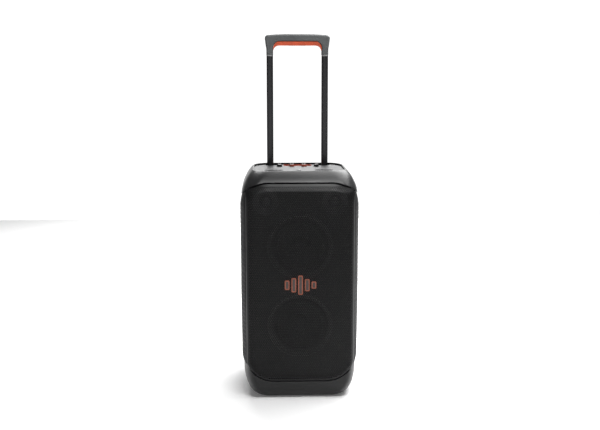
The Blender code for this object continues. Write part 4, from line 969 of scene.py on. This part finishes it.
def make_panel():
    face = body_outline(PANEL_Z + 0.0006, inset=0.0039, steps=30)
    panel = prism("panel_plate", face, "Z", PANEL_Z - 0.003, PANEL_Z)
    cutters, sleeves = [], []
    for side in (-1, 1):
        centre, size = (side * (HANDLE_X - 0.0029), HANDLE_Y), (0.0336, 0.0290)
        around = rounded_rectangle(centre, (size[0] + 0.003, size[1] + 0.003), 0.0075)
        sleeves.append(prism("sleeve", around, "Z", 0.6075, PANEL_Z - 0.001))
        cutters.append(prism("well", rounded_rectangle(centre, size, 0.0060), "Z", 0.6085, 0.650))
        cutters.append(prism("bore", tube_outline(side, 2 * GAP), "Z", 0.600, 0.620))
        around = rounded_rectangle(
            (side * TRAY_X, BUTTON_Y), (TRAY_SIZE[0] + 0.003, TRAY_SIZE[1] + 0.003), 0.0110
        )
        sleeves.append(prism("tray_wall", around, "Z", PANEL_Z - 0.0067, PANEL_Z - 0.001))
        tray = rounded_rectangle((side * TRAY_X, BUTTON_Y), TRAY_SIZE, 0.0095)
        cutters.append(prism("tray", tray, "Z", PANEL_Z - 0.0055, 0.65))
        for offset in (-BUTTON_OFFSET_X, BUTTON_OFFSET_X):
            centre = (side * TRAY_X + offset, BUTTON_Y)
            cutters.append(cylinder("hole", 0.0023, "Z", centre, 0.61, 0.65, 20))
    scoop = rounded_rectangle((0.0, SCOOP_Y), (0.0846, 0.0446), 0.0083)
    cutters.append(prism("scoop", scoop, "Z", 0.600, 0.650))
    cutters += [cylinder("hole", 0.0036, "Z", (x, KNOB_Y), 0.62, 0.65, 28) for x in KNOB_X]
    cutters.append(cylinder("hole", POWER_RADIUS + 0.0033, "Z", (0.0, BUTTON_Y), 0.62, 0.65, 64))
    cut(join(panel, *sleeves), *cutters)
    place(rounded(panel, 0.0005, 2, 50), PANEL, "cabinet", "control_panel")

    def outer(inset):
        return shrunk((0.0, SCOOP_Y), (0.0840, 0.0440), 0.008, inset)

    liner = prism("recess_cup", outer(0.0), "Z", 0.6085, PANEL_Z + 0.0004)
    cut(liner, prism("hollow", outer(0.0018), "Z", 0.6103, 0.650))
    # the recess liner takes the darker orange copy: painted shade for the hollow of the grip recess
    place(rounded(liner, 0.0005, 2, 50), KNOB_ORANGE_AND_PAINTED_SHADE, "cabinet", "grip_recess_liner")


def fluted(name, centre, radii, heights, flutes, depth, steps=4):
    """A knob's skirt: a turned body whose side is pinched into shallow flutes."""
    loops = []
    for radius, z, pinch in zip(radii, heights, (0, 1, 1, 0)):
        loop = []
        for k in range(flutes * steps):
            a = 2 * math.pi * k / (flutes * steps)
            r = radius - depth * pinch * (0.5 - 0.5 * math.cos(a * flutes))
            loop.append((centre[0] + r * math.cos(a), centre[1] + r * math.sin(a), z))
        loops.append(loop)
    return loft(name, loops)


def make_knobs():
    for number, x in enumerate(KNOB_X, 1):
        bright = number in (2, 3)
        centre, body = (x, KNOB_Y), f"knob_{number}"
        radii = (KNOB_RADIUS, KNOB_RADIUS, KNOB_RADIUS - 0.0004, KNOB_RADIUS - 0.0012)
        heights = (PANEL_Z + GAP, PANEL_Z + 0.0012, KNOB_TOP_Z - 0.0012, KNOB_TOP_Z - 0.0004)
        skirt = fluted(f"knob_skirt_{number}", centre, radii, heights, 28, 0.00045)
        join(skirt, cylinder("shaft", 0.0029, "Z", centre, 0.6200, PANEL_Z + 0.002, 32))
        place(skirt, KNOB_ORANGE_AND_PAINTED_SHADE if bright else GLOSS, body, body)
        top = [(0.0, 0.6380), (0.0060, 0.6380), (0.0060, KNOB_TOP_Z - 0.0002)]
        top += [(0.0057, KNOB_TOP_Z), (0.0053, KNOB_TOP_Z), (0.0046, KNOB_TOP_Z - 0.0003)]
        top += [(0.0, KNOB_TOP_Z - 0.0005)]
        face = lathe(f"knob_face_{number}", top, "Z", centre, 56)
        place(face, KNOB_GREY, body, slot="gloss_plastic")
        line = rounded_rectangle((x, KNOB_Y + 0.0045), (0.0009, 0.0032), 0.0004)
        mark = prism(f"knob_mark_{number}", line, "Z", KNOB_TOP_Z - 0.0005, KNOB_TOP_Z + 0.0001)
        place(mark, GLOSS if bright else ICON, body, slot="gloss_plastic")


def bar(centre, size, low, high):
    outline = rounded_rectangle(centre, size, min(size) * 0.45, 4)
    return prism("bar", outline, "Z", low, high)


def hoop(centre, outer, inner, low, high, steps=32):
    profile = [(inner, low), (outer, low), (outer, high), (inner, high)]
    return lathe("hoop", profile, "Z", centre, steps)


def pairing_icon(x, y, low, high):
    return [hoop((x - 0.0011, y), 0.0022, 0.0015, low, high),
            hoop((x + 0.0024, y), 0.0014, 0.0007, low, high)]


def lights_icon(x, y, low, high):
    rays = []
    for k in range(8):
        a = math.pi * k / 4
        spot = (x + 0.0029 * math.cos(a), y + 0.0029 * math.sin(a))
        rays.append(cylinder("ray", 0.00036, "Z", spot, low, high, 10))
    return [hoop((x, y), 0.0018, 0.0012, low, high), *rays]


def party_icon(x, y, low, high):
    star = []
    for k in range(10):
        a, r = math.pi / 2 + math.pi * k / 5, (0.0031, 0.0014)[k % 2]
        star.append((x + r * math.cos(a), y + r * math.sin(a)))
    return [prism("star", star, "Z", low, high)]


def bass_icon(x, y, low, high):
    heights = (0.0020, 0.0044, 0.0058, 0.0034)
    return [bar((x + (k - 1.5) * 0.0015, y), (0.0007, h), low, high) for k, h in enumerate(heights)]


def make_buttons():
    icons = {"pairing": pairing_icon, "lights": lights_icon, "party": party_icon, "bass": bass_icon}
    for side, names in ((-1, ("pairing", "lights")), (1, ("party", "bass"))):
        for offset, name in zip((-BUTTON_OFFSET_X, BUTTON_OFFSET_X), names):
            centre, body = (side * TRAY_X + offset, BUTTON_Y), f"{name}_button"

            def outline(inset, centre=centre):
                return shrunk(centre, BUTTON_SIZE, 0.0055, inset)

            top = BUTTON_TOP_Z
            cap = pillow(f"{name}_cap", outline, "Z", top - 0.0020, top, 0.0009)
            join(cap, cylinder("stem", 0.0018, "Z", centre, STEM_LOW_Z, top - 0.001, 24))
            place(cap, BUTTON, body, body)
            icon = merged(f"{name}_icon", icons[name](*centre, top - 0.0002, top + 0.0001))
            place(icon, ICON, body, slot="gloss_plastic")


def make_power_button():
    centre, top = (0.0, BUTTON_Y), PANEL_Z + 0.0014
    power = [(0.0, STEM_LOW_Z), (0.0018, STEM_LOW_Z), (0.0018, 0.6290), (POWER_RADIUS, 0.6290)]
    power += arc((POWER_RADIUS - 0.0008, top - 0.0008), (0.0008, 0.0008), 0, 90, 5)
    power += [(0.0050, top - 0.0003), (0.0, top - 0.0005)]
    power = lathe("power_cap", power, "Z", centre, 64)
    place(power, GLOSS, "power_button", "power_button")
    mark = hoop(centre, 0.0031, 0.0024, top - 0.0009, top - 0.0001)
    cut(mark, box("gap", (-0.0010, BUTTON_Y, 0.6), (0.0010, BUTTON_Y + 0.01, 0.7)))
    stroke = bar((0.0, BUTTON_Y + 0.0023), (0.0007, 0.0030), top - 0.0009, top - 0.0001)
    place(merged("power_icon", [mark, stroke]), ICON, "power_button", slot="gloss_plastic")
    low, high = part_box("power_light_ring")
    middle = POWER_RADIUS + GAP
    outer = (high[0] - low[0]) / 2
    ring = [(middle, low[2]), (outer, low[2]), (outer, high[2] - 0.0003), (outer - 0.0004, high[2])]
    ring += [(middle + 0.0003, high[2]), (middle, high[2] - 0.0003)]
    place(lathe("power_ring", ring, "Z", centre, 72), DIFFUSER, "cabinet", "power_light_ring")


# ---------------------------------------------------------------- trolley handle
GRIP_LOW_Z, GRIP_TOP_Z, GRIP_DEPTH, TUBE_LOW_Z, TUBE_WALL = 0.956, 1.016, 0.027, 0.565, 0.0015
GRIP_CORNER_X, GRIP_CORNER_Z, GRIP_CORNER = 0.050, 0.958, (0.0214, 0.0250)
LINER_SIDE, LINER_THICKNESS, LEG_SPARE = 0.0018, 0.0115, 0.0080
PIN_Z, PIN_RADIUS = 0.575, 0.0025


def grip_arc(grow, lift, start, end):
    radii = (GRIP_CORNER[0] + grow, GRIP_CORNER[1] + lift)
    return arc((GRIP_CORNER_X, GRIP_CORNER_Z), radii, start, end, 24, power=2.6)


def grip_outline():
    leg_in, leg_out = HANDLE_X - TUBE_SIZE[0] / 2, HANDLE_X + TUBE_SIZE[0] / 2
    foot = GRIP_LOW_Z - LEG_SPARE
    right = [(leg_in - 0.0006, foot), (leg_out + 0.0006, foot)]
    right += [(leg_out + 0.0003, 0.968), (leg_out + 0.0009, 0.976), (leg_out + 0.0022, 0.982)]
    right += [(0.0934, 0.990), (0.0944, 0.998), (0.0949, 1.003)]
    right += arc((0.0837, 1.0045), (0.0112, 0.0090), 0, 84, 14)
    right += [(0.068, 1.0146), (0.054, 1.0156), (0.040, GRIP_TOP_Z)]
    under = grip_arc(LINER_SIDE, LINER_THICKNESS, 88, 30)
    return right + [(-x, z) for x, z in reversed(right)] + [(-x, z) for x, z in reversed(under)] + under


def make_handle():
    front, back = HANDLE_Y - GRIP_DEPTH / 2, HANDLE_Y + GRIP_DEPTH / 2
    grip = rounded(prism("grip_body", grip_outline(), "Y", front, back), 0.0055, 5, 50)
    cut(grip, box("leg_ends", (-0.2, 0.0, 0.9), (0.2, 0.2, GRIP_LOW_Z)))
    cut(grip, box("channel", (-0.0850, 0.0962, 0.9900), (0.0850, 0.1038, 1.0065)))
    cut(grip, box("pocket", (-0.0260, 0.0918, 0.9800), (0.0260, 0.1082, 1.0000)))
    for side in (-1, 1):
        cut(grip, cylinder("bore", 0.0038, "Z", (side * HANDLE_X, HANDLE_Y), 0.950, 0.995, 28))
    place(grip, GRIP, "handle", "handle_grip")

    top = grip_arc(LINER_SIDE - GAP, LINER_THICKNESS - GAP, 88, 30)
    under = grip_arc(0.0, 0.0, 18, 88)
    outline = under + [(-x, z) for x, z in reversed(under)] + [(-x, z) for x, z in reversed(top)] + top
    liner = rounded(prism("grip_insert", outline, "Y", front + 0.0012, back - 0.0012), 0.003, 4, 50)
    cut(liner, box("hole", (-0.0256, 0.0922, 0.970), (0.0256, 0.1078, 1.000)))
    cut(liner, box("channel", (-0.0850, 0.0962, 0.9900), (0.0850, 0.1038, 1.0065)))
    place(liner, ORANGE, "handle", "grip_liner")

    low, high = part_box("release_button")
    button = rounded(box("release_bar", low, high), 0.0020, 4)
    grooves = [box("groove", (x - 0.0008, 0.09, low[2] - 0.001), (x + 0.0008, 0.11, low[2] + 0.0007))
               for x in [(k - 4.5) * 0.0042 for k in range(10)]]
    place(cut(button, *grooves), ORANGE, "release", "release_button")

    for name, side in SIDES:
        made = prism(f"tube_{name}", tube_outline(side, 0.0), "Z", TUBE_LOW_Z, GRIP_LOW_Z - GAP)
        cut(made, prism("hollow", tube_outline(side, -TUBE_WALL), "Z", 0.5, 1.0))
        inner_face = side * (HANDLE_X - TUBE_SIZE[0] / 2)
        reach = sorted((inner_face - side * 0.01, inner_face + side * 0.004))
        cut(made, cylinder("hole", PIN_RADIUS + GAP, "X", (HANDLE_Y, PIN_Z), *reach, 28))
        place(made, ANODISED, "handle", f"handle_tube_{name}")
        collar = prism(f"collar_{name}", tube_outline(side, 0.0002), "Z", 0.9526, GRIP_LOW_Z - 0.0001)
        cut(collar, prism("hollow", tube_outline(side, -0.0010), "Z", 0.9, 1.0))
        place(collar, CHROME, "handle", slot="anodised_tube")


# ---------------------------------------------------------------- wheels
WHEEL_X, WHEEL_Y, WHEEL_RADIUS, WHEEL_WIDTH, AXLE_RADIUS = 0.1185, 0.112, 0.040, 0.042, 0.0050
HUB_RADIUS, TREAD_BLOCKS, TREAD_DEPTH = 0.0280, 36, 0.0011


def tread_depth(turn, across):
    """Two rings of slanted blocks on either side of a centre groove."""
    groove = 1.0 if abs(across) < 0.0012 or abs(abs(across) - 0.0110) < 0.0006 else 0.0
    phase = (turn / (2 * math.pi) * TREAD_BLOCKS + 40 * abs(across) + (0.5 if across > 0 else 0.0)) % 1.0
    return TREAD_DEPTH * max(groove, 1.0 if phase < 0.16 else 0.0)


def make_tyre(name, x):
    half, rim, steps = WHEEL_WIDTH / 2, HUB_RADIUS, TREAD_BLOCKS * 12
    wall = [(rim + GAP, -half + 0.002), (rim + 0.0015, -half + 0.0006), (rim + 0.0060, -half)]
    wall += [(rim + 0.0062, -half + 0.0006), (rim + 0.0070, -half + 0.0006), (rim + 0.0072, -half)]
    wall += [(rim + 0.0078, -half + 0.0002), (WHEEL_RADIUS - 0.0025, -half + 0.001)]
    shoulder = [(WHEEL_RADIUS - 0.0012, -half + 0.0025), (WHEEL_RADIUS - 0.0004, -half + 0.0045)]
    crown = [(WHEEL_RADIUS, -half + 0.006 + (WHEEL_WIDTH - 0.012) * k / 40) for k in range(41)]
    profile = wall + shoulder + crown
    profile += [(r, -a) for r, a in reversed(wall + shoulder)]
    loops = []
    for radius, across in profile:
        loop = []
        for k in range(steps):
            a = 2 * math.pi * k / steps
            r = radius - (tread_depth(a, across) if radius > WHEEL_RADIUS - 0.0001 else 0.0)
            loop.append((x + across, WHEEL_Y + r * math.cos(a), WHEEL_RADIUS + r * math.sin(a)))
        loops.append(loop)
    return loft(name, loops, closed=True)


def make_wheels():
    centre, half = (WHEEL_Y, WHEEL_RADIUS), WHEEL_WIDTH / 2
    for name, side in SIDES:
        x, body = side * WHEEL_X, f"wheel_{name}"
        place(make_tyre(f"tyre_{name}", x), TYRE, body, f"wheel_{name}_tyre")
        out, back = x + side * half, x - side * half
        hub = [
            (AXLE_RADIUS + GAP, back + side * 0.002), (0.0110, back + side * 0.002),
            (0.0130, x - side * 0.004), (0.0245, x - side * 0.004),
            (0.0262, back + side * 0.003), (HUB_RADIUS, back + side * 0.003),
            (HUB_RADIUS, out - side * 0.0026), (HUB_RADIUS - 0.0006, out - side * 0.002),
            (0.0256, out - side * 0.002), (0.0248, out - side * 0.0028), (0.0230, out - side * 0.007),
            (0.0120, out - side * 0.005), (0.0112, out - side * 0.0042),
            (AXLE_RADIUS + GAP, out - side * 0.0042),
        ]
        hub = lathe(f"hub_{name}", hub, "X", centre, 96)
        for k in range(6):
            a = math.pi * (k / 3 + 1 / 6)
            middle = (WHEEL_Y + 0.0174 * math.cos(a), WHEEL_RADIUS + 0.0174 * math.sin(a))
            ends = sorted((out - side * 0.0125, out))
            cut(hub, cylinder("window", 0.0042, "X", middle, *ends, 36))
        place(rounded(hub, 0.0004, 2, 60), CASING, body, f"wheel_{name}_hub")
    cap = WHEEL_X + half - 0.0047
    half_axle = [(AXLE_RADIUS, cap), (0.0095, cap), (0.0095, cap + 0.0022)]
    half_axle += [(0.0091, cap + 0.0030), (0.0080, cap + 0.0034), (0.0, cap + 0.0037)]
    axle = [(r, -x) for r, x in reversed(half_axle)] + half_axle
    place(lathe("axle", axle, "X", centre, 64), STEEL, "cabinet", "wheel_axle")


# ---------------------------------------------------------------- back
REAR_HALF, REAR_LOW_Z, REAR_TOP_Z, REAR_FRONT_Y, REAR_RADIUS = 0.118, 0.118, 0.5584, 0.1555, 0.0117
IO_HALF, IO_LOW_Z, IO_TOP_Z, IO_FLOOR_Y = 0.062, 0.458, 0.542, 0.1445
PORT_Z, PORT_RADIUS, PORT_FLANGE = 0.310, 0.026, 0.034
DOOR_HALF, DOOR_LOW_Z, DOOR_TOP_Z, DOOR_AXIS = 0.080, 0.130, 0.210, (0.1575, 0.1322)
SCREW_X, SCREW_Z, SCREW_SEAT = 0.108, (0.128, 0.238, 0.338, 0.438, 0.548), 0.0043
JACKS = ((-0.046, 0.0100, 0.0034), (-0.021, 0.0100, 0.0034), (0.001, 0.0065, 0.0018))
SOCKET_Z, INLET, USB, LINK = 0.519, (0.034, 0.479), (0.024, 0.519), (0.047, 0.519)
FLAP_AXIS = (IO_FLOOR_Y + 0.0046, INLET[1] + 0.0105)


def rear_outline(half, low, high, radius, inset=0.0):
    centre, size = (0.0, (low + high) / 2), (2 * (half - inset), high - low - 2 * inset)
    return rounded_rectangle(centre, size, max(radius - inset, 0.0003))


def rear_prism(name, half, low, high, start, end, radius):
    return prism(name, rear_outline(half, low, high, radius), "Y", start, end)


def screw(name, centre, front, back, radius=0.0036):
    """A pan-head screw with a cross recess, its head at back."""
    profile = [(0.0, front), (0.0014, front), (0.0014, back - 0.0018), (radius, back - 0.0018)]
    profile += arc((radius - 0.0012, back - 0.0012), (0.0012, 0.0012), 0, 90, 5) + [(0.0, back)]
    made = lathe(name, profile, "Y", centre, 32)
    long, thin = radius * 0.55, 0.00045
    for u, v in ((long, thin), (thin, long)):
        slot = box("slot", (centre[0] - u, back - 0.0011, centre[1] - v),
                   (centre[0] + u, back + 0.001, centre[1] + v))
        cut(made, slot)
    return made


def make_rear_panel():
    panel = rear_prism("rear_plate", REAR_HALF, REAR_LOW_Z, REAR_TOP_Z, REAR_FRONT_Y, BACK_Y, REAR_RADIUS)
    cut(
        panel,
        rear_prism("io_hole", IO_HALF + GAP, IO_LOW_Z - GAP, IO_TOP_Z + GAP, 0.14, 0.2, 0.0083),
        rear_prism("door_hole", DOOR_HALF + 0.0006, DOOR_LOW_Z - 0.0006, DOOR_TOP_Z + 0.0008,
                   0.14, 0.2, 0.0030),
        cylinder("port_hole", PORT_FLANGE + GAP, "Y", (0.0, PORT_Z), 0.14, 0.2, 96),
    )
    ear_x = (DOOR_HALF - 0.0100, DOOR_HALF + 0.0040)
    for side in (-1, 1):
        xs = sorted((side * ear_x[0], side * ear_x[1]))
        y, z = DOOR_AXIS
        ear = box("ear", (xs[0], REAR_FRONT_Y, DOOR_LOW_Z - 0.0020), (xs[1], y + 0.0022, z + 0.0022))
        join(panel, ear)
        bore = sorted((side * (ear_x[0] - 0.002), side * (DOOR_HALF - 0.003)))
        cut(panel, cylinder("bore", 0.0013, "X", DOOR_AXIS, *bore, 24))
        for index in range(9):
            z = 0.252 + index * 0.0145
            ends = sorted((side * 0.052, side * 0.092))
            centre = (sum(ends) / 2, z)
            groove = rounded_rectangle(centre, (ends[1] - ends[0], 0.0046), 0.0022)
            cut(panel, prism("groove", groove, "Y", BACK_Y - 0.0012, 0.17))
    screws = []
    for x in (-SCREW_X, SCREW_X):
        for z in SCREW_Z:
            cut(panel, cylinder("screw_seat", SCREW_SEAT, "Y", (x, z), 0.1578, 0.17, 32))
            screws.append(screw("screw", (x, z), 0.1500, 0.1592))
    place(rounded(panel, 0.0005, 2, 50), SIDE, "cabinet", "rear_panel")
    place(merged("rear_screws", screws), BLACK_STEEL, "cabinet", slot="black_steel")


def make_port():
    flare = [(PORT_RADIUS + 0.0055 * (1 - math.cos(a)), BACK_Y - 0.0110 + 0.0110 * math.sin(a))
             for a in [math.pi / 2 * k / 12 for k in range(13)]]
    port = [(PORT_RADIUS, 0.0550), (PORT_RADIUS, BACK_Y - 0.05), *flare]
    port += [(PORT_FLANGE - 0.0008, BACK_Y), (PORT_FLANGE, BACK_Y - 0.0008), (PORT_FLANGE, REAR_FRONT_Y)]
    port += [(PORT_RADIUS + 0.0022, REAR_FRONT_Y - 0.004), (PORT_RADIUS + 0.0022, 0.0550)]
    place(lathe("port_tube", port, "Y", (0.0, PORT_Z), 96), GLOSS, "cabinet", "bass_port")


def make_sockets():
    floor = IO_FLOOR_Y + 0.002
    tray = rear_prism("socket_tray", IO_HALF, IO_LOW_Z, IO_TOP_Z, IO_FLOOR_Y, BACK_Y, 0.0080)
    cut(tray, rear_prism("hollow", IO_HALF - 0.002, IO_LOW_Z + 0.002, IO_TOP_Z - 0.002, floor, 0.2, 0.0060))
    cut(tray, *[cylinder("hole", r - 0.0017, "Y", (x, SOCKET_Z), 0.14, 0.15, 48) for x, r, _ in JACKS])
    for centre, size, radius in ((USB, (0.0166, 0.0096), 0.0012), (LINK, (0.0126, 0.0066), 0.0030),
                                 (INLET, (0.0246, 0.0146), 0.0040)):
        cut(tray, prism("hole", rounded_rectangle(centre, size, radius), "Y", 0.14, 0.15))
    place(rounded(tray, 0.0004, 2, 50), CASING, "cabinet", "io_panel")

    board = box("socket_circuit", (-0.058, 0.1310, 0.5070), (0.056, 0.1326, 0.5320))
    place(board, BOARD, "cabinet", "socket_board")
    bodies, nuts = [], []
    for x, outer, bore in JACKS:
        profile = [(bore, 0.1328), (outer - 0.0020, 0.1328), (outer - 0.0020, floor + GAP),
                   (outer, floor + GAP), (outer, floor + 0.0008), (outer - 0.0006, floor + 0.0013),
                   (outer - 0.0026, floor + 0.0013), (outer - 0.0030, floor + 0.0010),
                   (bore + 0.0014, floor + 0.0010), (bore + 0.0014, floor + 0.0004), (bore, floor + 0.0004)]
        bodies.append(lathe("jack", profile, "Y", (x, SOCKET_Z), 56))
        nut = [(bore + 0.0001, floor - 0.0020), (bore + 0.0013, floor - 0.0020),
               (bore + 0.0013, floor + 0.0022), (bore + 0.0011, floor + 0.0024),
               (bore + 0.0004, floor + 0.0024), (bore + 0.0001, floor + 0.0021)]
        nuts.append(lathe("nut", nut, "Y", (x, SOCKET_Z), 48))
    place(merged("jack_bodies", bodies), GLOSS, "cabinet", slot="gloss_plastic")
    place(merged("jack_nuts", nuts), STEEL, "cabinet", slot="bare_steel")

    shells, tongues = [], []
    for centre, size, slot_size, radius, tongue in (
        (USB, (0.0160, 0.0090), (0.0125, 0.0056), 0.0010, (0.0055, 0.0006, 0.0024)),
        (LINK, (0.0120, 0.0060), (0.0094, 0.0036), 0.0028, (0.0032, -0.0004, 0.0004)),
    ):
        shell = prism("shell", rounded_rectangle(centre, size, radius), "Y", 0.1328, floor + 0.0008)
        hole = rounded_rectangle(centre, slot_size, min(radius, slot_size[1] / 2 - 0.0002))
        shells.append(cut(shell, prism("slot", hole, "Y", 0.1355, 0.2)))
        half, low, high = tongue
        tongues.append(box("tongue", (centre[0] - half, 0.1350, centre[1] + low),
                           (centre[0] + half, 0.1440, centre[1] + high)))
    place(merged("data_shells", shells), STEEL, "cabinet", slot="bare_steel")
    place(merged("data_tongues", tongues), GLOSS, "cabinet", slot="gloss_plastic")

    inlet = rounded_rectangle(INLET, (0.0240, 0.0140), 0.0038)
    inlet = prism("inlet_body", inlet, "Y", 0.1290, floor + 0.0010)
    cut(inlet, prism("well", rounded_rectangle(INLET, (0.0190, 0.0096), 0.0046), "Y", 0.1325, 0.2))
    place(rounded(inlet, 0.0003, 2, 50), GLOSS, "cabinet", "mains_inlet")
    pins = []
    for offset in (-0.0045, 0.0045):
        profile = [(0.0, 0.1326), (0.0012, 0.1326), (0.0012, 0.1434), (0.0006, 0.1440), (0.0, 0.1440)]
        pins.append(lathe("pin", profile, "Y", (INLET[0] + offset, INLET[1]), 20))
    place(merged("inlet_pins", pins), STEEL, "cabinet", slot="bare_steel")

    y, z = FLAP_AXIS
    low = (INLET[0] - 0.0150, floor + 0.0016, INLET[1] - 0.0105)
    high = (INLET[0] + 0.0150, floor + 0.0036, z)
    flap = rounded(box("flap", low, high), 0.0008, 3)
    for index in range(3):
        z_line = INLET[1] - 0.004 + index * 0.0034
        cut(flap, box("line", (INLET[0] - 0.010, high[1] - 0.0004, z_line),
                      (INLET[0] + 0.010, high[1] + 0.002, z_line + 0.0008)))
    join(flap, cylinder("barrel", 0.0018, "X", (y, z), low[0] + 0.001, high[0] - 0.001, 32))
    join(flap, box("pull", (INLET[0] - 0.004, floor + 0.003, INLET[1] - 0.0095),
                   (INLET[0] + 0.004, floor + 0.0060, INLET[1] - 0.0080)))
    place(flap, RUBBER, "inlet_cover", "inlet_cover")


def make_battery_door():
    y, z = DOOR_AXIS
    door = rear_prism("door", DOOR_HALF, z, DOOR_TOP_Z, REAR_FRONT_Y + 0.001, BACK_Y, 0.0028)
    for side in (-1, 1):
        xs = sorted((side * (DOOR_HALF - 0.0105), side * (DOOR_HALF + 0.001)))
        cut(door, box("ear_room", (xs[0], 0.15, 0.12), (xs[1], 0.17, z + 0.0034)))
    cut(door, box("low_edge", (-0.1, 0.15, 0.12), (0.1, 0.17, z + 0.0010)))
    dish = rounded_rectangle((0.0, 0.2000), (0.0300, 0.0120), 0.0050)
    cut(door, prism("finger_dish", dish, "Y", 0.1583, 0.17))
    for index in range(6):
        low = 0.146 + index * 0.0070
        groove = rounded_rectangle((0.0, low + 0.0015), (0.136, 0.0030), 0.0014)
        cut(door, prism("rib_gap", groove, "Y", 0.1592, 0.17))
    door = rounded(door, 0.0004, 2, 50)
    join(door, cylinder("barrel", 0.0021, "X", DOOR_AXIS, -0.0690, 0.0690, 32))
    join(door, cylinder("pin", 0.0010, "X", DOOR_AXIS, -0.0765, 0.0765, 20))
    join(door, box("catch", (-0.009, 0.1530, 0.2020), (0.009, 0.1575, 0.2038)))
    place(door, CASING, "battery_door", "battery_door")


# ---------------------------------------------------------------- the speaker
make_top_cap()
make_bottom_cap()
make_cabinet()
make_side_panels()
make_grille()
make_badge()
make_woofers()
make_tweeters()
make_panel()
make_knobs()
make_buttons()
make_power_button()
make_handle()
make_wheels()
make_rear_panel()
make_port()
make_sockets()
make_battery_door()
make_stage()
